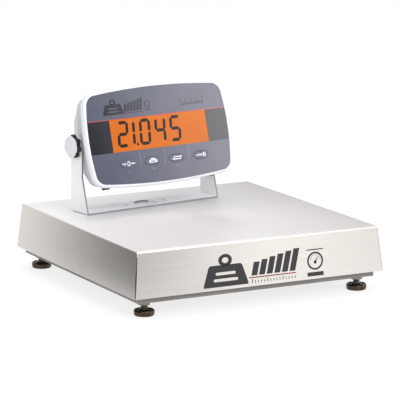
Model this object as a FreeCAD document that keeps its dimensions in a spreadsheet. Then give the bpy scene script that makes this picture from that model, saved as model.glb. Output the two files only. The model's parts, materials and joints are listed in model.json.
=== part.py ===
import FreeCAD, Part
import os
import re
import Sketcher

# Bench scale: a square stainless pan on a load cell and a tubular frame with four levelling
# feet, with a tilting weight indicator that stands on the pan in a U bracket.
# Frame of the model: +Z up, -Y to the front, origin on the floor under the middle of the pan.

SIZES = (
    ("pan_side", 305.0, "side of the square top of the pan"),
    ("pan_skirt", 51.9, "height of the folded skirt"),
    ("pan_flare", 5.2, "how far the skirt leans out at its lower edge"),
    ("pan_sheet", 1.5, "thickness of the stainless sheet"),
    ("pan_bend", 2.6, "outer radius of the bends round the top"),
    ("pan_seam", 1.6, "width of the open corner seams"),
    ("frame_inset", 3.0, "edge of the pan top to the outer face of the frame"),
    ("rail_width", 28.0, "width of the frame tube"),
    ("rail_height", 25.0, "height of the frame tube"),
    ("rail_wall", 2.0, "wall of the frame tube"),
    ("rail_low", 16.6, "floor to the underside of the frame tube"),
    ("foot_inset", 14.0, "outer face of the frame to the axis of a foot"),
    ("foot_radius", 11.7, "radius of the foot disc"),
    ("foot_height", 6.8, "thickness of the foot disc"),
    ("foot_round", 1.9, "rounding of the rim of the foot disc"),
    ("socket_depth", 4.3, "depth of the socket in the foot disc"),
    ("stud_radius", 4.0, "radius of the M8 levelling stud"),
    ("thread_play", 0.05, "radial play of every screw that turns"),
    ("stud_reach", 31.5, "length of the levelling stud"),
    ("collar_radius", 5.4, "radius of the collar of the stud"),
    ("collar_height", 1.2, "thickness of the collar of the stud"),
    ("collar_gap", 0.2, "gap between the collar and the foot disc"),
    ("bush_radius", 6.5, "radius of the threaded bush in the frame"),
    ("bush_length", 12.0, "length of the threaded bush"),
    ("lock_nut_across", 13.0, "width across flats of the M8 nuts"),
    ("lock_nut_height", 4.6, "height of the M8 lock nuts"),
    ("beam_width", 60.0, "width of the flat bar under the load cell"),
    ("beam_thickness", 8.0, "thickness of the flat bar under the load cell"),
    ("cell_length", 130.0, "length of the single point load cell"),
    ("cell_width", 30.0, "width of the load cell"),
    ("cell_height", 22.0, "height of the load cell"),
    ("cell_seat", 32.0, "length of the bolted end of the load cell"),
    ("cell_eye", 7.5, "radius of the two eyes that make the load cell bend"),
    ("cell_eye_pitch", 22.0, "distance between the two eyes"),
    ("cell_slot", 5.0, "height of the slot that joins the eyes"),
    ("cell_bolt_radius", 3.0, "radius of the M6 load cell bolts"),
    ("cell_bolt_pitch", 18.0, "distance between the two bolts of one end"),
    ("cell_bolt_bite", 12.0, "depth of the bolts in the load cell"),
    ("cell_bolt_head", 5.0, "radius of the bolt heads"),
    ("head_height", 4.0, "height of the bolt heads"),
    ("spacer_height", 3.0, "thickness of the two load cell spacers"),
    ("spider_width", 50.0, "width of the lengthwise bar of the spider"),
    ("spider_thickness", 8.0, "thickness of the lengthwise bar of the spider"),
    ("bar_inset", 49.5, "outer face of the frame to the axis of each cross bar"),
    ("bar_width", 30.0, "width of the cross bars"),
    ("bar_thickness", 8.0, "thickness of the cross bars"),
    ("bar_overhang", 8.0, "cross bar end to the outer face of the frame"),
    ("rest_radius", 10.0, "radius of the rubber rests under the pan"),
    ("rest_inset", 49.5, "outer face of the frame to the axis of each rubber rest"),
    ("rest_height", 5.4, "thickness of the rubber rests"),
    ("stop_gap", 0.6, "gap under the overload stop screws"),
    ("level_radius", 8.0, "radius of the bubble level"),
    ("level_height", 8.0, "height of the bubble level"),
    ("level_offset", 60.0, "middle to the bubble level, along the front rail"),
    ("level_round", 1.6, "rounding of the top of the bubble level"),
    ("grommet_offset", 40.0, "middle to the lead grommets in the rear rail"),
    ("grommet_neck", 5.5, "radius of the hole for a grommet"),
    ("grommet_flange", 8.0, "radius of the grommet flanges"),
    ("grommet_lip", 1.5, "thickness of the grommet flanges"),
    ("grommet_bore", 2.6, "radius of the hole for the load cell lead"),
    ("stand_left", 127.4, "left edge of the pan top to the middle of the bracket"),
    ("stand_rear", 72.1, "rear edge of the pan top to the middle of the bracket"),
    ("stand_turn", 8.0, "turn of the bracket on the pan, in degrees"),
    ("leg_gap", 1.0, "side of the rear shell to the bracket leg beside it"),
    ("bracket_depth", 34.0, "depth of the bracket foot"),
    ("bracket_sheet", 2.0, "thickness of the bracket sheet"),
    ("bracket_bend", 3.0, "outer radius of the two bends of the bracket"),
    ("leg_width", 23.0, "width of the upper part of each leg"),
    ("leg_taper", 42.0, "height where the front edge of a leg turns upright"),
    ("housing_lift", 21.0, "top of the pan to the lower edge of an upright housing"),
    ("pivot_hole", 3.3, "radius of the hole for the knob stud"),
    ("cable_hole", 14.0, "radius of the large hole in the bracket foot"),
    ("mount_hole", 2.25, "radius of the two screw holes in the bracket foot"),
    ("mount_pitch", 53.0, "distance between the two screw holes"),
    ("face_tilt", 14.5, "backward tilt of the display face at rest, in degrees"),
    ("face_forward", 36.2, "tilt axis to the display face"),
    ("face_rise", 1.6, "tilt axis to the middle of the display face, upwards"),
    ("overlay_half", 98.2, "half width of the printed overlay at its middle"),
    ("overlay_rise", 55.9, "half height of the printed overlay at its middle"),
    ("side_bulge", 5.0, "how far the left and right edges of the face bow out"),
    ("top_bulge", 5.4, "how far the upper and lower edges of the face bow out"),
    ("face_corner", 13.0, "corner radius of the overlay"),
    ("overlay_thickness", 0.5, "thickness of the overlay"),
    ("overlay_play", 0.2, "gap round the overlay"),
    ("bezel_rim", 3.2, "rim of the front bezel beyond the overlay"),
    ("bezel_depth", 7.0, "depth of the front bezel"),
    ("bezel_wall", 2.5, "thickness of the front wall of the bezel"),
    ("bezel_round", 2.8, "rounding of the front edge of the bezel"),
    ("gasket_thickness", 1.0, "thickness of the gasket between the two shells"),
    ("shell_step", 10.9, "how much narrower each side of the rear shell is than the bezel"),
    ("shell_lip", 3.1, "how much lower each edge of the rear shell is than the bezel"),
    ("shell_straight", 32.0, "display face to where the rear shell starts to narrow"),
    ("shell_depth", 71.0, "display face to the back of the rear shell"),
    ("shell_narrow", 18.5, "how much narrower each side of the back is"),
    ("shell_lower", 14.0, "how much lower each edge of the back is"),
    ("shell_wall", 2.5, "wall of the rear shell"),
    ("boss_radius", 11.0, "radius of the pivot bosses"),
    ("boss_length", 13.0, "length of the pivot bosses"),
    ("boss_step", 0.1, "how far the pivot bosses stand out of the rear shell"),
    ("pivot_insert_radius", 5.0, "radius of the brass inserts in the pivot bosses"),
    ("pivot_pad_play", 0.2, "gap between a pivot pad and its bracket leg"),
    ("post_side", 12.5, "side of the rear shell to the shell screws"),
    ("post_edge", 13.0, "upper and lower edge of the rear shell to the shell screws"),
    ("post_radius", 4.5, "radius of the screw posts"),
    ("shell_screw_radius", 1.5, "radius of the M3 shell screws"),
    ("shell_screw_head", 2.9, "radius of the heads of the shell screws"),
    ("screw_head_height", 2.8, "height of the heads of the shell screws"),
    ("shell_screw_tip", 3.5, "display face to the tips of the shell screws"),
    ("shell_screw_seat", 20.0, "display face to the seat of the screw heads"),
    ("screw_clearance", 0.2, "radial clearance of screws that pass through"),
    ("window_side", 30.4, "side of the overlay to the display window"),
    ("window_height", 37.7, "height of the display window"),
    ("window_rise", 4.0, "tilt axis to the middle of the window, upwards"),
    ("window_shift", 0.6, "middle of the face to the middle of the window"),
    ("window_thickness", 1.2, "thickness of the clear window"),
    ("fit_gap", 0.1, "gap round pieces that drop in"),
    ("glass_margin", 2.4, "how far the display glass passes the window"),
    ("glass_thickness", 2.4, "thickness of the display glass"),
    ("backlight_thickness", 4.0, "thickness of the backlight panel"),
    ("board_thickness", 1.6, "thickness of the circuit boards"),
    ("board_side", 18.0, "side of the rear shell to the circuit boards"),
    ("board_edge", 12.0, "upper and lower edge of the rear shell to the circuit boards"),
    ("board_spacing", 9.4, "length of the spacers between the boards"),
    ("board_post_inset", 8.5, "edges of the circuit boards to the board spacers"),
    ("board_post_radius", 2.5, "radius of the board spacers"),
    ("battery_width", 97.0, "width of the battery"),
    ("battery_height", 66.0, "height of the battery"),
    ("battery_depth", 33.0, "depth of the battery"),
    ("battery_start", 31.0, "display face to the battery"),
    ("battery_round", 2.0, "rounding of the edges of the battery"),
    ("key_half", 11.0, "half width of the oval keys"),
    ("key_rise", 5.2, "half height of the oval keys"),
    ("key_pitch", 34.2, "distance between the keys"),
    ("key_shift", 2.2, "middle of the face to the middle of the key row"),
    ("key_drop", 29.3, "tilt axis down to the key row"),
    ("key_proud", 0.9, "how far the keys stand out of the overlay"),
    ("key_round", 0.72, "rounding of the front edge of the keys"),
    ("key_play", 0.15, "gap round each key"),
    ("well_depth", 1.3, "depth of the wells under the keys"),
    ("dome_radius", 4.0, "radius of the snap domes"),
    ("dome_height", 0.3, "height of the snap domes"),
    ("gland_across", 40.0, "middle to the lead gland, sideways"),
    ("gland_drop", 18.0, "tilt axis down to the lead gland and the power jack"),
    ("gland_radius", 8.0, "radius of the lead gland"),
    ("gland_length", 13.0, "how far the lead gland stands out"),
    ("gland_bore", 2.6, "radius of the hole of the lead gland"),
    ("jack_across", 30.0, "middle to the power jack, sideways"),
    ("jack_radius", 5.5, "radius of the power jack"),
    ("jack_length", 3.0, "how far the power jack stands out"),
    ("jack_bore", 2.8, "radius of the hole of the power jack"),
    ("neck_step", 1.5, "how much thinner the gland and the jack are inside the back wall"),
    ("connector_round", 1.2, "rounding of the ends of the gland and the jack"),
    ("bumper_side", 16.5, "side of the rear shell to the rubber bumpers"),
    ("bumper_depth", 17.0, "display face to the bumpers"),
    ("bumper_radius", 4.6, "radius of the bumpers"),
    ("bumper_drop", 3.6, "middle line of the shell bottom to the bumper soles"),
    ("washer_radius", 8.0, "radius of the knob washers"),
    ("washer_thickness", 1.0, "thickness of the knob washers"),
    ("knob_play", 0.05, "gap between a knob and its washer"),
    ("knob_core", 10.8, "radius of the round core of a knob"),
    ("knob_ring", 10.4, "knob axis to the axis of each lobe"),
    ("knob_lobe", 3.6, "radius of a lobe"),
    ("knob_depth", 5.2, "thickness of the black knob body"),
    ("knob_cap_depth", 2.5, "thickness of the white knob face"),
    ("knob_cap_inset", 0.5, "how much smaller the white face is"),
    ("knob_stud_radius", 3.0, "radius of the M6 knob stud"),
    ("knob_stud_short", 2.0, "inner end of the brass insert to the end of the knob stud"),
    ("knob_stud_grip", 3.8, "length of the stud inside the knob"),
)

# Sizes that follow from the ones above
FOLLOWING_SIZES = (
    ("cell_low", "rail_low + beam_thickness + spacer_height", "floor to the load cell"),
    ("cell_high", "cell_low + cell_height", "floor to the top of the load cell"),
    ("spider_low", "cell_high + spacer_height", "floor to the lengthwise bar"),
    ("bar_low", "spider_low + spider_thickness", "floor to the cross bars"),
    ("bar_high", "bar_low + bar_thickness", "floor to the top of the cross bars"),
    ("pan_under", "bar_high + rest_height", "floor to the underside of the pan's top"),
    ("pan_top", "pan_under + pan_sheet", "floor to the top of the pan"),
    ("frame_side", "pan_side - 2 * frame_inset", "outer side of the square base frame"),
    ("bar_offset", "frame_side / 2 - bar_inset", "middle to the axis of a cross bar"),
    ("rest_offset", "frame_side / 2 - rest_inset", "middle to the axis of a rubber rest"),
    ("bracket_left", "pan_side / 2 - stand_left", "middle of the pan to the bracket"),
    ("bracket_back", "pan_side / 2 - stand_rear", "middle of the pan to the bracket"),
    ("shell_half", "overlay_half + bezel_rim - shell_step", "half width of the rear shell"),
    ("shell_rise", "overlay_rise + bezel_rim - shell_lip", "half height of the rear shell"),
    ("bracket_width", "2 * (shell_half + leg_gap + bracket_sheet)", "outer width of the bracket"),
    ("pivot_height", "housing_lift + overlay_rise + bezel_rim - face_rise", "pan to tilt axis"),
    ("window_width", "2 * (overlay_half - window_side)", "width of the display window"),
    ("post_across", "shell_half - post_side", "middle to the shell screws, sideways"),
    ("post_rise", "shell_rise - post_edge", "middle to the shell screws, upwards"),
    ("board_width", "2 * (shell_half - board_side)", "width of the circuit boards"),
    ("board_height", "2 * (shell_rise - board_edge)", "height of the circuit boards"),
    ("board_post_across", "board_width / 2 - board_post_inset", "middle to the board spacers"),
    ("board_post_rise", "board_height / 2 - board_post_inset", "middle to the board spacers"),
    ("bumper_across", "shell_half - bumper_side", "middle to the rubber bumpers"),
    ("insert_end", "shell_half + boss_step - boss_length", "middle to a brass insert"),
    ("knob_stud_end", "insert_end + knob_stud_short", "middle to the inner end of a knob stud"),
)

doc = FreeCAD.newDocument("bench_scale")
sheet = doc.addObject("Spreadsheet::Sheet", "sizes")
nodes = {}


def fill_sheet():
    for row, (alias, value, note) in enumerate(SIZES + FOLLOWING_SIZES, 1):
        sheet.set(f"A{row}", note)
        sheet.set(f"B{row}", f"={value}")
        sheet.setAlias(f"B{row}", alias)
    doc.recompute()


def cells(text):
    """Turn size names into references to the sheet; every alias has an underscore."""
    return re.sub(r"\b([a-z]+(?:_[a-z]+)+)\b", r"sizes.\1", text)


def number(text):
    return float(sheet.evalExpression(cells(text)))


def bind(thing, prop, text):
    thing.setExpression(prop, cells(text))


def put(thing, spot):
    for axis, text in zip("xyz", spot):
        bind(thing, f"Placement.Base.{axis}", text)
    return thing


def node(label, thing):
    thing.Label = label
    nodes[label] = thing
    return thing


# Simple solids, each bound to the sheet


def box(name, size, low):
    thing = doc.addObject("Part::Box", name)
    for prop, text in zip(("Length", "Width", "Height"), size):
        bind(thing, prop, text)
    return put(thing, low)


def block(name, size, middle, low_z):
    """A box centred on a point of the floor plane, from low_z upwards."""
    low = [f"{at} - ({side}) / 2" for at, side in zip(middle, size)]
    return box(name, size, (low[0], low[1], low_z))


TURNS = {
    "z": FreeCAD.Rotation(),
    "x": FreeCAD.Rotation(FreeCAD.Vector(0, 1, 0), 90),
    "y": FreeCAD.Rotation(FreeCAD.Vector(1, 0, 0), -90),
}


def rod(name, radius, length, start, along="z"):
    thing = doc.addObject("Part::Cylinder", name)
    bind(thing, "Radius", radius)
    bind(thing, "Height", length)
    thing.Placement.Rotation = TURNS[along]
    return put(thing, start)


def hexagon(name, across, height, start):
    thing = doc.addObject("Part::Prism", name)
    thing.Polygon = 6
    bind(thing, "Circumradius", f"{across} / sqrt(3)")
    bind(thing, "Height", height)
    return put(thing, start)


def fuse(name, parts):
    thing = doc.addObject("Part::MultiFuse", name)
    thing.Shapes = parts
    thing.Refine = True
    return thing


def cut(name, base, tools):
    thing = doc.addObject("Part::Cut", name)
    thing.Base = base
    thing.Tool = tools[0] if len(tools) == 1 else fuse(f"{name}_tools", tools)
    return thing


def group(name, parts):
    thing = doc.addObject("Part::Compound", name)
    thing.Links = parts
    return thing


def rounded(name, base, radius, wanted):
    """Fillet the edges of base that wanted(edge) picks."""
    doc.recompute()
    thing = doc.addObject("Part::Fillet", name)
    thing.Base = base
    size = number(radius)
    picked = [index for index, edge in enumerate(base.Shape.Edges, 1) if wanted(edge)]
    thing.Edges = [(index, size, size) for index in picked]
    return thing


def lies_at(axis, text):
    """A test for edges whose every point has one coordinate."""
    place = number(text)

    def test(edge):
        low = getattr(edge.BoundBox, f"{axis}Min")
        high = getattr(edge.BoundBox, f"{axis}Max")
        return abs(low - place) < 0.01 and abs(high - place) < 0.01

    return test


def runs_along(axis, at_least):
    """A test for edges that run along an axis for at least a length."""
    length = number(at_least)

    def test(edge):
        box_of = edge.BoundBox
        spans = {"X": box_of.XLength, "Y": box_of.YLength, "Z": box_of.ZLength}
        others = sum(span for name, span in spans.items() if name != axis)
        return spans[axis] >= length - 0.01 and others < 0.01

    return test


# Sketches and pads


def plane_of(body, role):
    return next(item for item in body.Origin.OriginFeatures if item.Role == role)


def new_sketch(body, name, role, lift):
    sketch = body.newObject("Sketcher::SketchObject", name)
    sketch.AttachmentSupport = [(plane_of(body, role), "")]
    sketch.MapMode = "FlatFace"
    bind(sketch, "AttachmentOffset.Base.z", lift)
    return sketch


def pin_start(sketch, index, spot):
    """Hold the start of one edge at a spot of the sketch, both ways by the sheet."""
    for kind, text in zip(("DistanceX", "DistanceY"), spot):
        rule = Sketcher.Constraint(kind, -1, 1, index, 1, number(text))
        bind(sketch, f"Constraints[{sketch.addConstraint(rule)}]", text)


def join_ends(sketch, count):
    for index in range(count):
        rule = Sketcher.Constraint("Coincident", index, 2, (index + 1) % count, 1)
        sketch.addConstraint(rule)


def polygon(body, name, role, spots, lift="0"):
    sketch = new_sketch(body, name, role, lift)
    points = [FreeCAD.Vector(number(x), number(y), 0) for x, y in spots]
    for start, end in zip(points, points[1:] + points[:1]):
        sketch.addGeometry(Part.LineSegment(start, end), False)
    join_ends(sketch, len(spots))
    for index, spot in enumerate(spots):
        pin_start(sketch, index, spot)
    return sketch


def pad(body, name, sketch, length, kind="PartDesign::Pad", reverse=False):
    feature = body.newObject(kind, name)
    feature.Profile = sketch
    bind(feature, "Length", length)
    feature.Reversed = reverse
    return feature


def body_named(name):
    return doc.addObject("PartDesign::Body", name)


# Base frame

FRAME_OUT = "frame_side / 2"
FRAME_IN = "(frame_side / 2 - rail_width)"
RAIL_TOP = "(rail_low + rail_height)"
FOOT_AT = "(frame_side / 2 - foot_inset)"
CORNERS = (("left", "front", "-", "-"), ("right", "front", "", "-"),
           ("left", "rear", "-", ""), ("right", "rear", "", ""))
BORE = "(stud_radius + thread_play)"


def trapezoid(outer, inner):
    """Outline of one mitred rail along the front, from its outer to its inner face."""
    return ((f"-({outer})", f"-({outer})"), (outer, f"-({outer})"),
            (inner, f"-({inner})"), (f"-({inner})", f"-({inner})"))


def rail(side, quarter):
    """One mitred length of tube, made along the front and turned to its side."""
    body = body_named(f"{side}_rail_body")
    outer = polygon(body, f"{side}_outer", "XY_Plane", trapezoid(FRAME_OUT, FRAME_IN), "rail_low")
    pad(body, f"{side}_tube", outer, "rail_height")
    hollow = trapezoid(f"{FRAME_OUT} - rail_wall", f"{FRAME_IN} + rail_wall")
    inner = polygon(body, f"{side}_inner", "XY_Plane", hollow, "rail_low + rail_wall")
    pad(body, f"{side}_hollow", inner, "rail_height - 2 * rail_wall", "PartDesign::Pocket", True)
    body.Placement.Rotation = FreeCAD.Rotation(FreeCAD.Vector(0, 0, 1), 90 * quarter)
    tools = []
    for across, along, sign_x, sign_y in CORNERS:
        if side in (across, along):
            spot = (f"{sign_x}{FOOT_AT}", f"{sign_y}{FOOT_AT}", "rail_low - 1")
            tools.append(rod(f"{side}_{across}_{along}_hole", "bush_radius", "rail_wall + 1", spot))
    if side == "rear":
        spot = ("-grommet_offset", FRAME_IN + " - 1", "rail_low + rail_height / 2")
        tools.append(rod("lead_hole", "grommet_neck", "rail_width + 2", spot, "y"))
    node(f"frame_{side}_rail", cut(f"{side}_rail", body, tools))


def at_feet(make):
    """Call make(name, x, y) for each of the four feet and list what it returns."""
    made = []
    for across, along, sign_x, sign_y in CORNERS:
        made.append(make(f"{along}_{across}", f"{sign_x}{FOOT_AT}", f"{sign_y}{FOOT_AT}"))
    return made


def foot_bush(name, x, y):
    outer = rod(f"bush_{name}", "bush_radius", "bush_length", (x, y, "rail_low"))
    bore = rod(f"bush_bore_{name}", BORE, "bush_length + 2", (x, y, "rail_low - 1"))
    return cut(f"foot_bush_{name}", outer, [bore])


def lock_nut(name, x, y):
    low = "rail_low - lock_nut_height"
    outer = hexagon(f"nut_{name}", "lock_nut_across", "lock_nut_height", (x, y, low))
    bore = rod(f"nut_bore_{name}", BORE, "lock_nut_height + 2", (x, y, f"{low} - 1"))
    return cut(f"lock_nut_{name}", outer, [bore])


def foot(name, x, y):
    """A levelling foot: a disc that stands still and a stud that turns in its socket."""
    floor = "foot_height - socket_depth"
    disc = rod(f"disc_{name}", "foot_radius", "foot_height", (x, y, "0"))
    soft = rounded(f"disc_rim_{name}", disc, "foot_round", lambda edge: edge.Closed)
    socket = rod(f"socket_{name}", BORE, "socket_depth + 1", (x, y, floor))
    node(f"foot_pad_{name}", cut(f"foot_disc_{name}", soft, [socket]))
    shank = rod(f"shank_{name}", "stud_radius", "stud_reach", (x, y, floor))
    low = "foot_height + collar_gap"
    collar = rod(f"collar_{name}", "collar_radius", "collar_height", (x, y, low))
    node(f"foot_stud_{name}", fuse(f"foot_screw_{name}", [shank, collar]))


def base_frame():
    for quarter, side in enumerate(("front", "right", "rear", "left")):
        rail(side, quarter)
    node("foot_bushes", group("foot_bush_set", at_feet(foot_bush)))
    node("foot_lock_nuts", group("lock_nut_set", at_feet(lock_nut)))
    at_feet(foot)
    size = (f"2 * {FRAME_IN}", "beam_width", "beam_thickness")
    bar = block("beam_bar", size, ("0", "0"), "rail_low")
    tools = cell_bolt_rods("beam_hole", "-", "cell_bolt_radius", "beam_thickness + 2",
                           "rail_low - 1")
    node("load_cell_beam", cut("beam", bar, tools))


# Load cell and what is bolted to it

SEAT_AT = "(cell_length - cell_seat) / 2"


def cell_bolt_rods(name, sign, radius, length, low):
    """Two upright rods through one bolted end of the load cell."""
    made = []
    for side, sign_y in (("front", "-"), ("rear", "")):
        spot = (f"{sign}{SEAT_AT}", f"{sign_y}cell_bolt_pitch / 2", low)
        made.append(rod(f"{name}_{side}", radius, length, spot))
    return made


def load_cell():
    size = ("cell_length", "cell_width", "cell_height")
    bar = block("cell_bar", size, ("0", "0"), "cell_low")
    middle = "cell_low + cell_height / 2"
    tools = []
    for side, sign in (("left", "-"), ("right", "")):
        spot = (f"{sign}cell_eye_pitch / 2", "-cell_width / 2 - 1", middle)
        tools.append(rod(f"cell_eye_{side}", "cell_eye", "cell_width + 2", spot, "y"))
    size = ("cell_eye_pitch", "cell_width + 2", "cell_slot")
    tools.append(block("cell_slot_box", size, ("0", "0"), f"{middle} - cell_slot / 2"))
    tools += cell_bolt_rods("cell_hole_low", "-", "cell_bolt_radius", "cell_bolt_bite + 1",
                            "cell_low - 1")
    tools += cell_bolt_rods("cell_hole_high", "", "cell_bolt_radius", "cell_bolt_bite + 1",
                            "cell_high - cell_bolt_bite")
    node("load_cell", cut("cell", bar, tools))


def spacer(name, sign, low):
    middle = (f"{sign}{SEAT_AT}", "0")
    plate = block(f"{name}_plate", ("cell_seat", "cell_width", "spacer_height"), middle, low)
    tools = cell_bolt_rods(f"{name}_hole", sign, "cell_bolt_radius", "spacer_height + 2",
                           f"{low} - 1")
    node(name, cut(f"{name}_cut", plate, tools))


def cell_bolts(name, sign, shank_low, shank, head_low):
    shanks = cell_bolt_rods(f"{name}_shank", sign, "cell_bolt_radius", shank, shank_low)
    heads = cell_bolt_rods(f"{name}_head", sign, "cell_bolt_head", "head_height", head_low)
    bolts = [fuse(f"{name}_{index}", pair) for index, pair in enumerate(zip(shanks, heads), 1)]
    node(name, group(f"{name}_set", bolts))


def load_cell_group():
    load_cell()
    spacer("cell_lower_spacer", "-", "rail_low + beam_thickness")
    spacer("cell_upper_spacer", "", "cell_high")
    cell_bolts("cell_lower_bolts", "-", "rail_low",
               "beam_thickness + spacer_height + cell_bolt_bite", "rail_low - head_height")
    cell_bolts("cell_upper_bolts", "", "cell_high - cell_bolt_bite",
               "spider_thickness + spacer_height + cell_bolt_bite", "bar_low")


# Spider: the moving platform under the pan

BAR_HALF = "(frame_side / 2 - bar_overhang)"


def stop_spots(low):
    """The four spots of the overload stops, over the front and rear rails."""
    for across, along, sign_x, sign_y in CORNERS:
        yield f"{along}_{across}", (f"{sign_x}bar_offset", f"{sign_y}{FOOT_AT}", low)


def spider():
    size = ("2 * bar_offset + bar_width", "spider_width", "spider_thickness")
    bar = block("spider_bar", size, ("0", "0"), "spider_low")
    tools = cell_bolt_rods("spider_hole", "", "cell_bolt_radius", "spider_thickness + 2",
                           "spider_low - 1")
    node("spider_beam", cut("spider_cut", bar, tools))
    for side, sign in (("left", "-"), ("right", "")):
        size = ("bar_width", f"2 * {BAR_HALF}", "bar_thickness")
        bar = block(f"{side}_bar", size, (f"{sign}bar_offset", "0"), "bar_low")
        tools = [rod(f"{side}_{name}_stop_hole", "stud_radius", "bar_thickness + 2", spot)
                 for name, spot in stop_spots("bar_low - 1") if side in name]
        node(f"spider_{side}_bar", cut(f"{side}_bar_cut", bar, tools))
    overload_stops()
    rests = []
    for across, along, sign_x, sign_y in CORNERS:
        spot = (f"{sign_x}bar_offset", f"{sign_y}rest_offset", "bar_high")
        rests.append(rod(f"rest_{along}_{across}", "rest_radius", "rest_height", spot))
    node("pan_rests", group("rest_set", rests))


def overload_stops():
    """Screws that hang from the cross bars and stop on the rails under an overload."""
    screws = []
    nuts = []
    for name, spot in stop_spots(f"{RAIL_TOP} + stop_gap"):
        length = f"bar_high - {RAIL_TOP} - stop_gap"
        shank = rod(f"stop_shank_{name}", "stud_radius", length, spot)
        top = (spot[0], spot[1], "bar_high")
        head = hexagon(f"stop_head_{name}", "lock_nut_across", "head_height", top)
        screws.append(fuse(f"stop_screw_{name}", [shank, head]))
        under = (spot[0], spot[1], "bar_low - lock_nut_height")
        outer = hexagon(f"stop_hex_{name}", "lock_nut_across", "lock_nut_height", under)
        bore = rod(f"stop_bore_{name}", "stud_radius", "lock_nut_height", under)
        nuts.append(cut(f"stop_nut_{name}", outer, [bore]))
    node("overload_stop_screws", group("stop_screw_set", screws))
    node("overload_stop_nuts", group("stop_nut_set", nuts))


# Small pieces of the base


def bubble_level():
    spot = ("level_offset", f"-{FOOT_AT}", RAIL_TOP)
    vial = rod("level_vial", "level_radius", "level_height", spot)
    soft = rounded("level_soft", vial, "level_round", lies_at("Z", f"{RAIL_TOP} + level_height"))
    node("bubble_level", soft)


def grommet(name, wall_start):
    """A rubber ring that holds itself in a wall of the rear rail by its two flanges."""
    x = "-grommet_offset"
    z = "rail_low + rail_height / 2"
    length = "rail_wall + 2 * grommet_lip"
    start = f"{wall_start} - grommet_lip"
    near = rod(f"{name}_near", "grommet_flange", "grommet_lip", (x, start, z), "y")
    far_start = f"{wall_start} + rail_wall"
    far = rod(f"{name}_far", "grommet_flange", "grommet_lip", (x, far_start, z), "y")
    neck = rod(f"{name}_neck", "grommet_neck", length, (x, start, z), "y")
    ring = fuse(f"{name}_ring", [near, far, neck])
    bore = rod(f"{name}_bore", "grommet_bore", f"{length} + 2", (x, f"{start} - 1", z), "y")
    return cut(name, ring, [bore])


# Pan


def skirt_box(name, inset, top, low, bend):
    """A solid that narrows upwards to the pan's top, with its four upper edges rounded."""
    thing = doc.addObject("Part::Wedge", name)
    half_top = f"(pan_side / 2 - {inset})"
    half_low = f"(pan_side / 2 - {inset} + pan_flare * ({top} - ({low})) / pan_skirt)"
    for prop, text in (("Xmin", f"-{half_low}"), ("Xmax", half_low),
                       ("Zmin", f"-{half_low}"), ("Zmax", half_low),
                       ("X2min", f"-{half_top}"), ("X2max", half_top),
                       ("Z2min", f"-{half_top}"), ("Z2max", half_top),
                       ("Ymin", low), ("Ymax", top)):
        bind(thing, prop, text)
    thing.Placement.Rotation = FreeCAD.Rotation(FreeCAD.Vector(1, 0, 0), 90)
    return rounded(f"{name}_round", thing, bend, lies_at("Z", top))


def pan():
    low = "(pan_top - pan_skirt)"
    outer = skirt_box("pan_outer", "0", "pan_top", low, "pan_bend")
    inner = skirt_box("pan_inner", "pan_sheet", "pan_under", f"{low} - 1", "pan_bend - pan_sheet")
    tools = [inner]
    for index in range(4):
        length = "4 * pan_flare + pan_bend"
        seam = doc.addObject("Part::Box", f"pan_seam_{index}")
        bind(seam, "Length", length)
        bind(seam, "Width", "pan_seam")
        bind(seam, "Height", "pan_skirt - pan_bend")
        angle = 45 + 90 * index
        seam.Placement.Rotation = FreeCAD.Rotation(FreeCAD.Vector(0, 0, 1), angle)
        start = "(pan_side / 2 - pan_bend) * sqrt(2)"
        put(seam, (f"{start} * cos({angle}) + pan_seam / 2 * sin({angle})",
                   f"{start} * sin({angle}) - pan_seam / 2 * cos({angle})", low))
        tools.append(seam)
    node("weighing_pan", cut("pan_cut", outer, tools))


# Bracket, in its own frame: X along its width, origin on the pan under its middle

LEG_AXIS = "(bracket_depth / 2 - leg_width / 2)"
LEG_TOP = "(pivot_height + leg_width / 2)"


def seats():
    """Where the bracket stands, and where the tilting indicator hangs in it."""
    stand = doc.addObject("App::Placement", "bracket_seat")
    put(stand, ("-bracket_left", "bracket_back", "pan_top"))
    bind(stand, "Placement.Rotation.Yaw", "stand_turn")
    pivot = doc.addObject("App::Placement", "pivot_seat")
    put(pivot, (f"-bracket_left - {LEG_AXIS} * sin(stand_turn)",
                f"bracket_back + {LEG_AXIS} * cos(stand_turn)", "pan_top + pivot_height"))
    bind(pivot, "Placement.Rotation.Yaw", "stand_turn")
    bind(pivot, "Placement.Rotation.Roll", "-face_tilt")
    doc.recompute()


def seated(label, parts, seat="pivot_seat"):
    """A node whose solids are made in the frame of a seat."""
    thing = group(f"{label}_set", parts)
    thing.setExpression("Placement", f"{seat}.Placement")
    return node(label, thing)


def bracket():
    outer = block("bracket_outer", ("bracket_width", "bracket_depth", LEG_TOP), ("0", "0"), "0")
    bends = rounded("bracket_bends", outer, "bracket_bend",
                    lambda edge: runs_along("Y", "bracket_depth")(edge) and edge.BoundBox.ZMax < 0.01)
    size = ("bracket_width - 2 * bracket_sheet", "bracket_depth + 2", LEG_TOP)
    inner = block("bracket_inner", size, ("0", "0"), "bracket_sheet")
    crease = rounded("bracket_crease", inner, "bracket_bend - bracket_sheet",
                     lambda edge: runs_along("Y", "bracket_depth")(edge)
                     and edge.BoundBox.ZMax < number("bracket_sheet") + 0.01)
    channel = cut("bracket_channel", bends, [crease])
    side = leg_outline()
    sheet_form = doc.addObject("Part::Common", "bracket_form")
    sheet_form.Base = channel
    sheet_form.Tool = side
    tools = [rod("cable_opening", "cable_hole", "bracket_sheet + 2", ("0", "0", "-1"))]
    for name, sign in (("left", "-"), ("right", "")):
        spot = (f"{sign}mount_pitch / 2", "0", "-1")
        tools.append(rod(f"mount_hole_{name}", "mount_hole", "bracket_sheet + 2", spot))
    spot = ("-bracket_width / 2 - 1", LEG_AXIS, "pivot_height")
    tools.append(rod("pivot_opening", "pivot_hole", "bracket_width + 2", spot, "x"))
    seated("indicator_bracket", [cut("bracket_cut", sheet_form, tools)], "bracket_seat")


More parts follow.
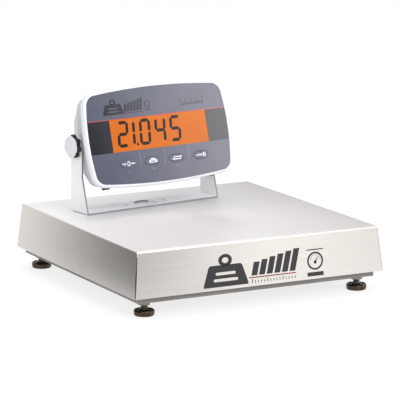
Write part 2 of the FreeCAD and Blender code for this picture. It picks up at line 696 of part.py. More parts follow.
def leg_outline():
    """Side outline of both legs: deep at the foot, narrow above, round at the top."""
    body = body_named("leg_side")
    half = "bracket_depth / 2"
    spots = ((f"-{half}", "-1"), (half, "-1"), (half, "pivot_height"),
             (f"{half} - leg_width", "pivot_height"), (f"{half} - leg_width", "leg_taper"),
             (f"-{half}", "bracket_sheet"))
    sketch = polygon(body, "leg_sketch", "YZ_Plane", spots, "-bracket_width / 2 - 1")
    pad(body, "leg_pad", sketch, "bracket_width + 2")
    spot = ("-bracket_width / 2 - 1", LEG_AXIS, "pivot_height")
    top = rod("leg_top", "leg_width / 2", "bracket_width + 2", spot, "x")
    return fuse("leg_form", [body, top])


# Indicator, in the frame of its tilt axis: X to its right, +Y into the housing, Z up the face.
# depth(d) is the Y of a plane that lies d behind the display face.


def depth(text):
    return f"({text}) - face_forward"


def pillow(body, name, half, rise, lift, bow=("side_bulge", "top_bulge")):
    """Sketch of a face with four bowed edges, its middle face_rise above the axis."""
    sketch = new_sketch(body, name, "XZ_Plane", lift)
    side, top = bow
    x = f"({half} - {side})"
    z = f"({rise} - {top})"
    ends = ((x, f"face_rise - {z}"), (x, f"face_rise + {z}"),
            (f"-{x}", f"face_rise + {z}"), (f"-{x}", f"face_rise - {z}"))
    mids = ((half, "face_rise"), ("0", f"face_rise + {rise}"),
            (f"-({half})", "face_rise"), ("0", f"face_rise - ({rise})"))
    bows = ((z, side), (x, top), (z, side), (x, top))
    points = [FreeCAD.Vector(number(a), number(b), 0) for a, b in ends]
    for index, (a, b) in enumerate(mids):
        middle = FreeCAD.Vector(number(a), number(b), 0)
        sketch.addGeometry(Part.Arc(points[index], middle, points[(index + 1) % 4]), False)
    join_ends(sketch, 4)
    for index, (spot, (half_chord, bow_of)) in enumerate(zip(ends, bows)):
        pin_start(sketch, index, spot)
        radius = f"({half_chord} * {half_chord} + {bow_of} * {bow_of}) / (2 * {bow_of})"
        rule = Sketcher.Constraint("Radius", index, number(radius))
        bind(sketch, f"Constraints[{sketch.addConstraint(rule)}]", radius)
    return sketch


def pillow_block(name, half, rise, start, length, corner):
    """A bowed block from one depth behind the face, with its long edges rounded."""
    body = body_named(f"{name}_body")
    sketch = pillow(body, f"{name}_sketch", half, rise, f"-({depth(start)})")
    pad(body, f"{name}_pad", sketch, length, reverse=True)
    return rounded(f"{name}_corners", body, corner, runs_along("Y", length))


def end_wire(block, text):
    """Outline of the end face of a block that lies at one depth."""
    doc.recompute()
    flat = lies_at("Y", depth(text))
    return next(face for face in block.Shape.Faces if flat(face)).OuterWire


def narrowing(name, front, inset, end):
    """The part of the rear shell, or of its hollow, that narrows from front to the back."""
    back = pillow_block(f"{name}_end", f"(shell_half - shell_narrow - {inset})",
                        f"(shell_rise - shell_lower - {inset})", end, "1",
                        f"face_corner - {inset}")
    wires = [end_wire(front, "shell_straight"), end_wire(back, end)]
    thing = doc.addObject("Part::Feature", name)
    thing.Shape = Part.makeLoft(wires, True, True)
    return thing


def face_posts(name, radius, start, length):
    """Four rods into the housing, at the places of the shell screws."""
    made = []
    for across, along, sign_x, sign_z in CORNERS:
        z = f"face_rise {sign_z or '+'} post_rise"
        spot = (f"{sign_x}post_across", depth(start), z)
        made.append(rod(f"{name}_{along}_{across}", radius, length, spot, "y"))
    return made


def window_box(name, grow, start, length):
    size = (f"window_width + 2 * ({grow})", length, f"window_height + 2 * ({grow})")
    low = ("window_shift - window_width / 2 - " + f"({grow})", depth(start),
           "window_rise - window_height / 2 - " + f"({grow})")
    return box(name, size, low)


KEYS = ("zero", "print", "units", "tare")


def oval(name, index, grow, start, length):
    """An oval rod into the housing at the place of one key."""
    ring = doc.addObject("Part::Ellipse", f"{name}_ring")
    bind(ring, "MajorRadius", f"key_half + {grow}")
    bind(ring, "MinorRadius", f"key_rise + {grow}")
    ring.Placement.Rotation = FreeCAD.Rotation(FreeCAD.Vector(1, 0, 0), 90)
    put(ring, (f"key_shift + key_pitch * ({index} - 1.5)", depth(start), "-key_drop"))
    thing = doc.addObject("Part::Extrusion", name)
    thing.Base = ring
    thing.DirMode = "Custom"
    thing.Dir = FreeCAD.Vector(0, 1, 0)
    bind(thing, "LengthFwd", length)
    thing.Solid = True
    return thing


def front_bezel():
    half = "(overlay_half + bezel_rim)"
    rise = "(overlay_rise + bezel_rim)"
    corner = "face_corner + bezel_rim"
    shell = pillow_block("bezel", half, rise, "0", "bezel_depth", corner)
    soft = rounded("bezel_soft", shell, "bezel_round", lies_at("Y", depth("0")))
    hollow = pillow_block("bezel_hollow", "(shell_half - shell_wall)", "(shell_rise - shell_wall)",
                          "bezel_wall", "bezel_depth", "face_corner - shell_wall")
    bed = pillow_block("overlay_bed", "(overlay_half + overlay_play)",
                       "(overlay_rise + overlay_play)", "-1", "1 + overlay_thickness",
                       "face_corner + overlay_play")
    tools = [hollow, bed, window_box("bezel_window", "fit_gap", "-1", "bezel_depth")]
    for index, key in enumerate(KEYS):
        tools.append(oval(f"well_{key}", index, "key_play", "0", "overlay_thickness + well_depth"))
    open_bezel = cut("bezel_open", soft, tools)
    bosses = face_posts("bezel_boss", "post_radius", "bezel_wall", "bezel_depth - bezel_wall")
    with_bosses = fuse("bezel_bossed", [open_bezel] + bosses)
    pilots = face_posts("bezel_pilot", "shell_screw_radius", "shell_screw_tip", "bezel_depth")
    seated("front_bezel", [cut("bezel_cut", with_bosses, pilots)])


def gasket():
    outer = pillow_block("gasket_outer", "shell_half", "shell_rise", "bezel_depth",
                         "gasket_thickness", "face_corner")
    inner = pillow_block("gasket_inner", "(shell_half - shell_wall)", "(shell_rise - shell_wall)",
                         "bezel_depth - 1", "gasket_thickness + 2", "face_corner - shell_wall")
    seated("shell_gasket", [cut("gasket_cut", outer, [inner])])


SHELL_FRONT = "bezel_depth + gasket_thickness"


def rear_shell():
    straight = f"shell_straight - ({SHELL_FRONT})"
    front = pillow_block("shell_front", "shell_half", "shell_rise", SHELL_FRONT, straight,
                         "face_corner")
    back = narrowing("shell_back", front, "0", "shell_depth")
    solid = fuse("shell_solid", [front, back])
    hollow_front = pillow_block("hollow_front", "(shell_half - shell_wall)",
                                "(shell_rise - shell_wall)", f"{SHELL_FRONT} - 1",
                                f"{straight} + 1", "face_corner - shell_wall")
    hollow_back = narrowing("hollow_back", hollow_front, "shell_wall",
                            "shell_depth - shell_wall")
    shell = cut("shell_hollowed", solid, [hollow_front, hollow_back])
    posts = fuse("shell_posts", face_posts("post", "post_radius", SHELL_FRONT, "shell_straight"))
    trimmed = doc.addObject("Part::Common", "shell_posts_trimmed")
    trimmed.Base = posts
    trimmed.Tool = solid
    body = fuse("shell_body", [shell, trimmed] + pivot_rods("boss", "boss_radius", "boss_length"))
    tools = face_posts("screw_way", "shell_screw_radius + screw_clearance", "0", "shell_depth")
    tools += face_posts("screw_sink", "shell_screw_head + screw_clearance",
                        "shell_screw_seat - screw_head_height", "shell_depth")
    tools += pivot_rods("insert_way", "pivot_insert_radius", "boss_length")
    tools += back_rods()
    seated("rear_shell", [cut("shell_cut", body, tools)])


def pivot_rods(name, radius, length, out="shell_half + boss_step"):
    """A rod on the tilt axis at each side, ending at a distance from the middle."""
    left = rod(f"{name}_left", radius, length, (f"-({out})", "0", "0"), "x")
    right = rod(f"{name}_right", radius, length, (f"{out} - ({length})", "0", "0"), "x")
    return [left, right]


def ring_pair(label, name, radius, bore, length, out):
    outer = pivot_rods(f"{name}_outer", radius, length, out)
    inner = pivot_rods(f"{name}_inner", bore, length, out)
    rings = [cut(f"{name}_{side}", a, [b]) for side, a, b in zip(("left", "right"), outer, inner)]
    seated(label, rings)


BACK_HOLES = (("gland", "-gland_across", "gland_radius"), ("jack", "jack_across", "jack_radius"))


def back_rods():
    """The holes in the back wall for the gland and the power jack."""
    made = []
    for name, x, radius in BACK_HOLES:
        spot = (x, depth("shell_depth - shell_wall - 1"), "-gland_drop")
        made.append(rod(f"{name}_way", f"{radius} - neck_step", "shell_wall + 2", spot, "y"))
    return made


def connectors():
    for label, name, x, radius, length, bore in (
            ("cell_lead_gland", "gland", "-gland_across", "gland_radius", "gland_length",
             "gland_bore"),
            ("power_jack", "jack", "jack_across", "jack_radius", "jack_length", "jack_bore")):
        neck_spot = (x, depth("shell_depth - shell_wall"), "-gland_drop")
        neck = rod(f"{name}_neck", f"{radius} - neck_step", "shell_wall + 1", neck_spot, "y")
        cap = rod(f"{name}_cap", radius, length, (x, depth("shell_depth"), "-gland_drop"), "y")
        end = depth(f"shell_depth + {length}")
        soft = rounded(f"{name}_soft", cap, "connector_round", lies_at("Y", end))
        whole = fuse(f"{name}_whole", [neck, soft])
        bore_spot = (x, depth("shell_depth - shell_wall - 1"), "-gland_drop")
        way = rod(f"{name}_bore", bore, f"{length} + shell_wall + 2", bore_spot, "y")
        seated(label, [cut(f"{name}_cut", whole, [way])])


def bumpers():
    made = []
    for side, sign in (("left", "-"), ("right", "")):
        spot = (f"{sign}bumper_across", depth("bumper_depth"),
                "face_rise - shell_rise - bumper_drop + top_bulge / 2")
        made.append(rod(f"bumper_rod_{side}", "bumper_radius", "shell_wall + bumper_drop", spot))
    outer = pillow_block("bumper_trim", "shell_half", "shell_rise", SHELL_FRONT,
                         "shell_straight", "face_corner")
    seated("housing_bumpers", [cut(f"bumper_{index}", item, [outer])
                               for index, item in enumerate(made)])


def shell_screws():
    made = []
    shanks = face_posts("shell_shank", "shell_screw_radius", "shell_screw_tip",
                        "shell_screw_seat - shell_screw_tip")
    heads = face_posts("shell_head", "shell_screw_head", "shell_screw_seat - screw_head_height",
                       "screw_head_height")
    for index, pair in enumerate(zip(shanks, heads), 1):
        made.append(fuse(f"shell_screw_{index}", list(pair)))
    seated("shell_screws", made)


def overlay():
    plate = pillow_block("overlay", "overlay_half", "overlay_rise", "0", "overlay_thickness",
                         "face_corner")
    tools = [window_box("overlay_window", "fit_gap", "-1", "2")]
    for index, key in enumerate(KEYS):
        tools.append(oval(f"overlay_hole_{key}", index, "key_play", "-1", "2"))
    seated("face_overlay", [cut("overlay_cut", plate, tools)])


def display():
    """Window, glass, backlight and the two boards, one behind the other."""
    seated("display_window", [window_box("window_pane", "0", "0", "window_thickness")])
    glass_at = "bezel_wall + fit_gap"
    light_at = f"{glass_at} + glass_thickness"
    board_at = f"{light_at} + backlight_thickness"
    main_at = f"{board_at} + board_thickness + board_spacing"
    seated("display_glass", [window_box("glass", "glass_margin", glass_at, "glass_thickness")])
    seated("backlight_panel", [window_box("light", "glass_margin", light_at,
                                          "backlight_thickness")])
    for label, start in (("display_board", board_at), ("main_board", main_at)):
        low = ("-board_width / 2", depth(start), "face_rise - board_height / 2")
        size = ("board_width", "board_thickness", "board_height")
        seated(label, [box(f"{label}_plate", size, low)])
    spacers = []
    for across, along, sign_x, sign_z in CORNERS:
        spot = (f"{sign_x}board_post_across", depth(f"{board_at} + board_thickness"),
                f"face_rise {sign_z or '+'} board_post_rise")
        name = f"spacer_{along}_{across}"
        spacers.append(rod(name, "board_post_radius", "board_spacing", spot, "y"))
    seated("board_spacers", spacers)


def battery():
    low = ("-battery_width / 2", depth("battery_start"), "face_rise - battery_height / 2")
    case = box("battery_case", ("battery_width", "battery_depth", "battery_height"), low)
    soft = rounded("battery_soft", case, "battery_round", lambda edge: True)
    seated("battery", [soft])


def keys():
    domes = []
    for index, key in enumerate(KEYS):
        cap = oval(f"{key}_cap", index, "0", "-key_proud", "key_proud + overlay_thickness")
        soft = rounded(f"{key}_soft", cap, "key_round", lies_at("Y", depth("-key_proud")))
        seated(f"{key}_key", [soft])
        spot = (f"key_shift + key_pitch * ({index} - 1.5)",
                depth("overlay_thickness + well_depth - dome_height"), "-key_drop")
        domes.append(rod(f"dome_{key}", "dome_radius", "dome_height", spot, "y"))
    seated("key_domes", domes)


# Clamp knobs at both ends of the tilt axis

KNOB_START = "bracket_width / 2"
LOBES = 7


def lobed(name, start, thickness, inset, sign):
    """A round core with lobes all round, from one plane outwards along the tilt axis."""
    low = start if sign == "" else f"-({start}) - ({thickness})"
    parts = [rod(f"{name}_core", f"knob_core - {inset}", thickness, (low, "0", "0"), "x")]
    for index in range(LOBES):
        angle = f"{index} * 360 / {LOBES}"
        spot = (low, f"knob_ring * cos({angle})", f"knob_ring * sin({angle})")
        parts.append(rod(f"{name}_lobe_{index}", f"knob_lobe - {inset}", thickness, spot, "x"))
    return fuse(name, parts)


def knob(side, sign):
    washer_end = f"{KNOB_START} + washer_thickness"
    grip_start = f"{washer_end} + knob_play"
    body_end = f"{grip_start} + knob_depth"
    washer_low = KNOB_START if sign == "" else f"-({washer_end})"
    disc = rod(f"{side}_washer_disc", "washer_radius", "washer_thickness",
               (washer_low, "0", "0"), "x")
    hole = rod(f"{side}_washer_hole", "knob_stud_radius + thread_play", "washer_thickness",
               (washer_low, "0", "0"), "x")
    seated(f"knob_washer_{side}", [cut(f"{side}_washer_cut", disc, [hole])])
    grip = lobed(f"{side}_grip", grip_start, "knob_depth", "0", sign)
    stud_length = f"{grip_start} + knob_stud_grip - knob_stud_end"
    stud_low = "knob_stud_end" if sign == "" else f"-({grip_start} + knob_stud_grip)"
    bore = rod(f"{side}_grip_bore", "knob_stud_radius", stud_length, (stud_low, "0", "0"), "x")
    seated(f"knob_grip_{side}", [cut(f"{side}_grip_cut", grip, [bore])])
    cap = lobed(f"{side}_cap", body_end, "knob_cap_depth", "knob_cap_inset", sign)
    seated(f"knob_face_{side}", [cap])
    stud = rod(f"{side}_stud", "knob_stud_radius", stud_length, (stud_low, "0", "0"), "x")
    seated(f"knob_stud_{side}", [stud])


def indicator():
    front_bezel()
    gasket()
    rear_shell()
    ring_pair("pivot_inserts", "insert", "pivot_insert_radius", "knob_stud_radius + thread_play",
              "boss_length", "shell_half + boss_step")
    pad_length = "bracket_width / 2 - bracket_sheet - pivot_pad_play - shell_half - boss_step"
    ring_pair("pivot_pads", "pivot_pad", "boss_radius", "pivot_hole", pad_length,
              f"shell_half + boss_step + {pad_length}")
    connectors()
    bumpers()
    shell_screws()
    overlay()
    display()
    battery()
    keys()


def build():
    fill_sheet()
    base_frame()
    load_cell_group()
    spider()
    bubble_level()
    node("lead_grommets", group("grommet_set", [grommet("outer_grommet", f"{FRAME_OUT} - rail_wall"),
                                                grommet("inner_grommet", FRAME_IN)]))
    pan()
    seats()
    bracket()
    indicator()
    for side, sign in (("left", "-"), ("right", "")):
        knob(side, sign)
    doc.recompute()


def check():
    for thing in doc.Objects:
        if "Invalid" in thing.State or "Error" in thing.State:
            raise RuntimeError(f"{thing.Name} ({thing.Label}) did not recompute: {thing.State}")
    for label, thing in nodes.items():
        shape = thing.Shape
        if shape.isNull() or not shape.isValid() or not shape.Solids:
            raise RuntimeError(f"{label} has no valid solid")


def write():
    os.makedirs("parts", exist_ok=True)
    for label, thing in nodes.items():
        thing.Shape.exportStep(f"parts/{label}.step")
        box_of = thing.Shape.BoundBox
        print(f"{label}: {len(thing.Shape.Solids)} solid(s), {thing.Shape.Volume / 1000:.2f} cm3,"
              f" z {box_of.ZMin:.1f} to {box_of.ZMax:.1f}")
    print(len(nodes), "nodes")


build()
check()
write()
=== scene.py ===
import json
import math

import bmesh
import bpy
import numpy as np
from mathutils import Matrix, Vector


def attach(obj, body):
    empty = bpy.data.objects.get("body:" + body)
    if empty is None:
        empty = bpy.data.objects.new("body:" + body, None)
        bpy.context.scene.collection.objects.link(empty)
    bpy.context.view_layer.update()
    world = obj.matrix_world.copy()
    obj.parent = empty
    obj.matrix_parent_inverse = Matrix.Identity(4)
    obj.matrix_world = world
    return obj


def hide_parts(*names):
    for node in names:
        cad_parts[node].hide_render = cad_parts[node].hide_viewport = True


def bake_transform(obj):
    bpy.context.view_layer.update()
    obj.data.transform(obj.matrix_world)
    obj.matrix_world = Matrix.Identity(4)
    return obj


# Looks of the bench scale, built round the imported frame. Lengths in this script are in
# millimetres unless a name says otherwise; MM turns them into metres.
MM = 0.001

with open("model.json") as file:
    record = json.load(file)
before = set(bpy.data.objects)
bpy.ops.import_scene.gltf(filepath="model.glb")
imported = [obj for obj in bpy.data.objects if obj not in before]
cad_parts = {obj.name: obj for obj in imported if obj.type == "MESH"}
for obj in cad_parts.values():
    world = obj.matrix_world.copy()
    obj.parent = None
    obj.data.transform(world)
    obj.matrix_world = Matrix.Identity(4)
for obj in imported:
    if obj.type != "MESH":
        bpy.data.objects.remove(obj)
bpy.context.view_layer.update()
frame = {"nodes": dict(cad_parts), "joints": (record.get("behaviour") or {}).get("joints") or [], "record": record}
NODES = frame["nodes"]
JOINTS = {joint["name"]: joint for joint in frame["joints"]}


# Local frames and the boxes of the CAD nodes in them


def points_of(node):
    mesh = NODES[node].data
    co = np.empty(len(mesh.vertices) * 3)
    mesh.vertices.foreach_get("co", co)
    return co.reshape(-1, 3)


def local_box(node, place):
    """Lowest and highest corner of a CAD node in the frame of a 4x4 matrix, in millimetres."""
    inverse = np.array(place.inverted())
    co = points_of(node) @ inverse[:3, :3].T + inverse[:3, 3]
    return Vector(co.min(0)) / MM, Vector(co.max(0)) / MM


def axes(x, y, z, origin):
    made = Matrix((x, y, z)).transposed().to_4x4()
    made.translation = origin
    return made


def face_place():
    """Frame of the indicator: X along the tilt axis, Y into the housing, Z up its face."""
    joint = JOINTS["indicator_tilt"]
    x = Vector(joint["axis"]).normalized()
    flats = NODES["display_window"].data.polygons
    y = max(flats, key=lambda flat: flat.area).normal.copy()
    y = (y - x * y.dot(x)).normalized()
    if y.y < 0:
        y.negate()
    return axes(x, y, x.cross(y), Vector(joint["pos_m"]))


def stand_place():
    """Frame of the bracket: X across it, Z up, on the pan under the bracket's middle."""
    x = Vector(JOINTS["indicator_tilt"]["axis"]).normalized()
    z = Vector((0, 0, 1))
    turned = axes(x, z.cross(x), z, Vector((0, 0, 0)))
    low, high = local_box("indicator_bracket", turned)
    middle = Vector(((low.x + high.x) / 2, (low.y + high.y) / 2, low.z))
    return axes(x, z.cross(x), z, turned @ (middle * MM))


ROW = Matrix.Identity(4)
FACE = face_place()
STAND = stand_place()


# Materials. Every one is node based, in the object coordinates of its piece.


class Nodes:
    """A material under construction: add nodes, join sockets, set the shader."""

    def __init__(self, name):
        self.material = bpy.data.materials.new(name)
        self.material.use_nodes = True
        self.tree = self.material.node_tree
        self.shader = self.tree.nodes["Principled BSDF"]
        self.place = self.add("ShaderNodeTexCoord").outputs["Object"]

    def add(self, kind, **inputs):
        made = self.tree.nodes.new(kind)
        for key, value in inputs.items():
            self.feed(made.inputs[key.replace("_", " ")], value)
        return made

    def feed(self, socket, value):
        if isinstance(value, bpy.types.NodeSocket):
            self.tree.links.new(value, socket)
        else:
            socket.default_value = value

    def noise(self, scale, detail=2.0, rough=0.5):
        """Noise in object coordinates. scale is in waves per millimetre, one or one per axis."""
        scales = scale if isinstance(scale, tuple) else (scale,) * 3
        spread = self.add("ShaderNodeMapping", Vector=self.place)
        spread.inputs["Scale"].default_value = [1 / MM * part for part in scales]
        made = self.add("ShaderNodeTexNoise", Vector=spread.outputs["Vector"], Scale=1.0,
                        Detail=detail, Roughness=rough)
        return made.outputs["Fac"]

    def ranged(self, value, low, high, start=0.3, end=0.7):
        """A value from start to end turned into one from low to high, and held outside."""
        made = self.add("ShaderNodeMapRange", Value=value)
        for key, number in (("From Min", start), ("From Max", end), ("To Min", low),
                            ("To Max", high)):
            made.inputs[key].default_value = number
        return made.outputs["Result"]

    def sum(self, first, second):
        made = self.tree.nodes.new("ShaderNodeMath")
        self.feed(made.inputs[0], first)
        self.feed(made.inputs[1], second)
        return made.outputs[0]

    def facing(self, way):
        """How squarely the surface faces one way or its opposite, from 0 to 1."""
        normal = self.add("ShaderNodeTexCoord").outputs["Normal"]
        dot = self.tree.nodes.new("ShaderNodeVectorMath")
        dot.operation = "DOT_PRODUCT"
        self.feed(dot.inputs[0], normal)
        dot.inputs[1].default_value = way
        size = self.tree.nodes.new("ShaderNodeMath")
        size.operation = "ABSOLUTE"
        self.feed(size.inputs[0], dot.outputs["Value"])
        return size.outputs[0]

    def mixed(self, factor, first, second):
        made = self.tree.nodes.new("ShaderNodeMix")
        made.data_type = "RGBA"
        for socket, value in ((made.inputs[0], factor), (made.inputs[6], first),
                              (made.inputs[7], second)):
            self.feed(socket, value)
        return made.outputs[2]

    def cloudy(self, light, dark, scale, detail=2.0, rough=0.5):
        """A tone that drifts between two colours."""
        return self.mixed(self.ranged(self.noise(scale, detail, rough), 0.0, 1.0), light, dark)

    def bump(self, height, depth, strength):
        """Bump of a height from 0 to 1 that stands for depth millimetres."""
        made = self.add("ShaderNodeBump", Height=height, Strength=strength)
        made.inputs["Distance"].default_value = depth * MM
        self.feed(self.shader.inputs["Normal"], made.outputs["Normal"])

    def set(self, **inputs):
        for key, value in inputs.items():
            self.feed(self.shader.inputs[key.replace("_", " ")], value)


def colour(text):
    """A linear colour from an sRGB hexadecimal one."""
    parts = [int(text[i:i + 2], 16) / 255 for i in (0, 2, 4)]
    return [((c + 0.055) / 1.055) ** 2.4 if c > 0.04045 else c / 12.92 for c in parts] + [1.0]


def brushed_steel(name, light, dark, top_left_painted_light, top_right_painted_shade):
    """Sheet metal with a fine grain along X, and a top with painted light: paler at the left, with painted shade
    toward the right.
    """
    make = Nodes(name)
    fine = make.noise((0.02, 5.0, 5.0), 3.0, 0.6)
    broad = make.noise((0.006, 0.5, 0.5))
    cloud = make.noise(0.008)
    tone = make.mixed(make.ranged(broad, 0.0, 0.5), light, dark)
    tone = make.mixed(make.ranged(cloud, 0.0, 0.35), tone, dark)
    flat = make.ranged(make.facing((0, 0, 1)), 0.0, 1.0, 0.6, 0.95)
    across = make.add("ShaderNodeSeparateXYZ", Vector=make.place).outputs["X"]
    # painted light and shade on the top: pale at the left, darker toward the right along X
    top = make.mixed(make.ranged(across, 0.0, 1.0, -20 * MM, 160 * MM), top_left_painted_light, top_right_painted_shade)
    rough = make.sum(make.ranged(fine, 0.3, 0.42), make.ranged(flat, 0.0, 0.12, 0.0, 1.0))
    make.set(Base_Color=make.mixed(flat, tone, top), Roughness=rough, Anisotropic=0.4,
             Metallic=make.ranged(flat, 1.0, 0.5, 0.0, 1.0))
    make.bump(fine, 0.004, 0.5)
    return make.material


def painted(name, light, dark, grain, rough, depth, edge=None, way=None):
    """Satin paint or powder coat; faces that look one way, such as its edges and the walls of its holes, may get a
    darker painted shade.
    """
    make = Nodes(name)
    peel = make.noise(grain, 3.0, 0.55)
    tone = make.cloudy(light, dark, 0.02, 3.0)
    if edge:
        # painted shade: faces that look along way, or against it, get the darker edge colour
        tone = make.mixed(make.ranged(make.facing(way), 0.0, 1.0, 0.55, 0.75), tone, edge)
    make.set(Base_Color=tone, Roughness=make.ranged(peel, *rough))
    make.bump(peel, depth, 0.6)
    return make.material


def moulded(name, light, dark, rough=(0.34, 0.46), grain=4.0, depth=0.01):
    """Moulded plastic or rubber with a fine spark texture."""
    make = Nodes(name)
    spark = make.noise(grain, 2.0, 0.6)
    make.set(Base_Color=make.cloudy(light, dark, 0.03), Roughness=make.ranged(spark, *rough))
    make.bump(spark, depth, 0.5)
    return make.material


def plated(name, light, dark, rough=(0.22, 0.38)):
    """Plated or machined metal parts: faint blotches and fine tool marks."""
    make = Nodes(name)
    fine = make.noise(3.2)
    make.set(Base_Color=make.cloudy(light, dark, 0.24, 3.0, 0.6), Metallic=1.0,
             Roughness=make.ranged(fine, *rough))
    make.bump(fine, 0.006, 0.5)
    return make.material


def film(name, light, dark, glow=0.0, coat=1.0):
    """Glossy printed film or ink: a faint mottle under a smooth clear coat."""
    make = Nodes(name)
    grain = make.noise(3.0, 2.0, 0.6)
    tone = make.cloudy(light, dark, 0.03)
    make.set(Base_Color=tone, Roughness=make.ranged(grain, 0.34, 0.44), Coat_Weight=coat,
             Coat_Roughness=make.ranged(grain, 0.07, 0.11), Specular_IOR_Level=0.04)
    if glow:
        make.set(Emission_Color=tone, Emission_Strength=glow)
    return make.material


def matt_ink(name, light, dark):
    """Ink printed on metal, with a satin surface."""
    return moulded(name, light, dark, (0.45, 0.6), 2.5, 0.003)


def finish(kind, name, light, dark, *more):
    return kind(name, colour(light), colour(dark), *more)


EDGE_AND_SHADE_WAY = tuple(STAND.to_3x3() @ Vector((0, 1, 0)))
# the last two colours are painted light and painted shade on the pan's top, from left to right
STEEL = finish(brushed_steel, "steel_sheet", "e2dfdb", "d2cec9", colour("f6f3f2"),
               colour("c9c5c2"))
PAINT = finish(painted, "frame_paint", "8a8682", "7b7773", 1.6, (0.42, 0.56), 0.02)
# the grey is painted shade on the bracket's front and back edges and in its holes
POWDER = finish(painted, "bracket_powder", "f8f8f9", "f1f1f3", 1.2, (0.4, 0.52), 0.03,
                colour("88888b"), EDGE_AND_SHADE_WAY)
ALLOY = finish(plated, "cell_alloy", "d6d8da", "c6c8cb", (0.3, 0.42))
# zinc plating in a dark tone: painted shade, as for studs and nuts that sit in shadow
ZINC_PAINTED_SHADE = finish(plated, "zinc_steel", "8e8a84", "77736d")
FOOT = finish(plated, "foot_metal", "5d5046", "3a312b", (0.14, 0.26))
BRASS = finish(plated, "brass", "d2ab5c", "c09a4e")
DOME = finish(plated, "dome_metal", "d5d3cc", "c5c3bc", (0.2, 0.3))
RUBBER = finish(moulded, "rubber", "242424", "1b1b1b", (0.6, 0.75))
ABS = finish(moulded, "housing_abs", "e8e8ee", "dfdfe5")
# a darker copy of the housing plastic: painted shade for the rear shell behind the bezel
ABS_PAINTED_SHADE = finish(moulded, "housing_abs_rear", "c9c9d0", "c0c0c7")
BLACK = finish(moulded, "black_plastic", "26262a", "1c1c20")
WHITE = finish(moulded, "white_plastic", "e2e2e6", "d9d9dd")
GREEN = finish(moulded, "board_green", "1f6a3c", "195a32", (0.35, 0.5))
NYLON = finish(moulded, "nylon", "e8e6dc", "dcdacf", (0.4, 0.5))
LEVEL = finish(moulded, "level_clear", "c7d94a", "b8cc40", (0.08, 0.14), 2.0, 0.002)
FILM_SLATE = finish(film, "overlay_film", "565969", "505363")
FILM_KEY = finish(film, "key_film", "5b5f70", "555969")
LCD_AMBER = finish(film, "lcd_amber", "c86812", "c06010", 0.12, 0.35)
INK_DIGIT = finish(film, "ink_digit", "2a1a10", "21140c", 0.0, 0.35)
INK_BAND = finish(film, "ink_band", "1d1b27", "191722")
INK_DARK = finish(film, "ink_dark", "262733", "21222d")
INK_LIGHT = finish(film, "ink_light", "8f93a4", "868a9b")
INK_RED = finish(film, "ink_red", "b84a4e", "a94146")
INK_WHITE = finish(film, "ink_white", "eceef4", "e0e2ea")
INK_BLACK = finish(matt_ink, "ink_black", "262226", "1f1c20")
SKIRT_RED = finish(matt_ink, "skirt_red", "8c3436", "7e2e31")

DRESS = {
    "stainless": STEEL, "frame_paint": PAINT, "cell_alloy": ALLOY, "zinc_steel": ZINC_PAINTED_SHADE,
    "foot_metal": FOOT, "rubber": RUBBER, "level_clear": LEVEL, "bracket_powder": POWDER,
    "housing_abs": ABS, "overlay_film": FILM_SLATE, "key_film": FILM_KEY,
    "window_clear": LCD_AMBER, "display_amber": LCD_AMBER, "backlight": NYLON,
    "board_green": GREEN, "brass": BRASS, "nylon": NYLON, "battery_black": BLACK,
    "knob_black": BLACK, "knob_white": WHITE, "dome_metal": DOME,
}
NODE_SLOT = {part["node"]: part["material_slot"] for part in frame["record"]["subparts"]}
for name, thing in NODES.items():
    thing.data.materials.clear()
    thing.data.materials.append(DRESS.get(NODE_SLOT.get(name), BLACK))
# the rear shell takes the darker copy of the housing plastic, as painted shade
NODES["rear_shell"].data.materials[0] = ABS_PAINTED_SHADE


# Meshes. Builders return a mesh in millimetres in a local frame; show() puts it in its place.


def loft(rings, wrapped=False):
    """A mesh over rings of equal count; its ends are capped, or joined if wrapped."""
    count = len(rings[0])
    spots = [tuple(spot) for ring in rings for spot in ring]
    faces = []
    for start in range(len(rings) if wrapped else len(rings) - 1):
        low = start * count
        high = (start + 1) % len(rings) * count
        for i in range(count):
            j = (i + 1) % count
            faces.append((low + i, low + j, high + j, high + i))
    if not wrapped:
        faces.append(tuple(reversed(range(count))))
        faces.append(tuple(range(len(spots) - count, len(spots))))
    mesh = bpy.data.meshes.new("loft")
    mesh.from_pydata(spots, [], faces)
    return mesh


def circle(radius, steps, z):
    return [(radius * math.cos(math.tau * i / steps), radius * math.sin(math.tau * i / steps), z)
            for i in range(steps)]


def lathe(profile, steps=64, wrapped=False):
    """A turned piece from (radius, height) pairs, about the local Z."""
    return loft([circle(radius, steps, z) for radius, z in profile], wrapped)


def arc(middle, radius, start, end, steps):
    """Points of an arc in a plane, from one angle to another, in degrees."""
    made = []
    for i in range(steps + 1):
        angle = math.radians(start + (end - start) * i / steps)
        made.append((middle[0] + radius * math.cos(angle), middle[1] + radius * math.sin(angle)))
    return made


def hexagon_reach(angle, across):
    return across / 2 / math.cos((angle % (math.tau / 6)) - math.tau / 12)


def hex_rings(across, low, high, chamfered=(True, True)):
    """Rings of a hexagon head or nut whose corners are turned down by 30 degrees."""
    steps = 72
    turned = 0.97 * across / 2
    slope = math.tan(math.radians(30))
    angles = [math.tau * i / steps for i in range(steps)]
    reach = [hexagon_reach(angle, across) for angle in angles]

    def ring(is_flat, z, sign):
        made = []
        for angle, far in zip(angles, reach):
            near = min(far, turned) if is_flat else far
            lift = 0.0 if is_flat else max(far - turned, 0.0) * slope
            made.append((near * math.cos(angle), near * math.sin(angle), z + sign * lift))
        return made

    rings = [ring(True, low, 1), ring(False, low, 1)] if chamfered[0] else [ring(False, low, 0)]
    return rings + ([ring(False, high, -1), ring(True, high, -1)] if chamfered[1]
                    else [ring(False, high, 0)])


def nut(across, bore, low, high):
    """A hexagon nut with a countersunk bore, whose radius is bore."""
    rings = hex_rings(across, low, high)
    steps = len(rings[0])
    sink = 0.5
    inner = [(bore + sink, high), (bore, high - sink), (bore, low + sink), (bore + sink, low)]
    return loft(rings + [circle(radius, steps, z) for radius, z in inner], True)


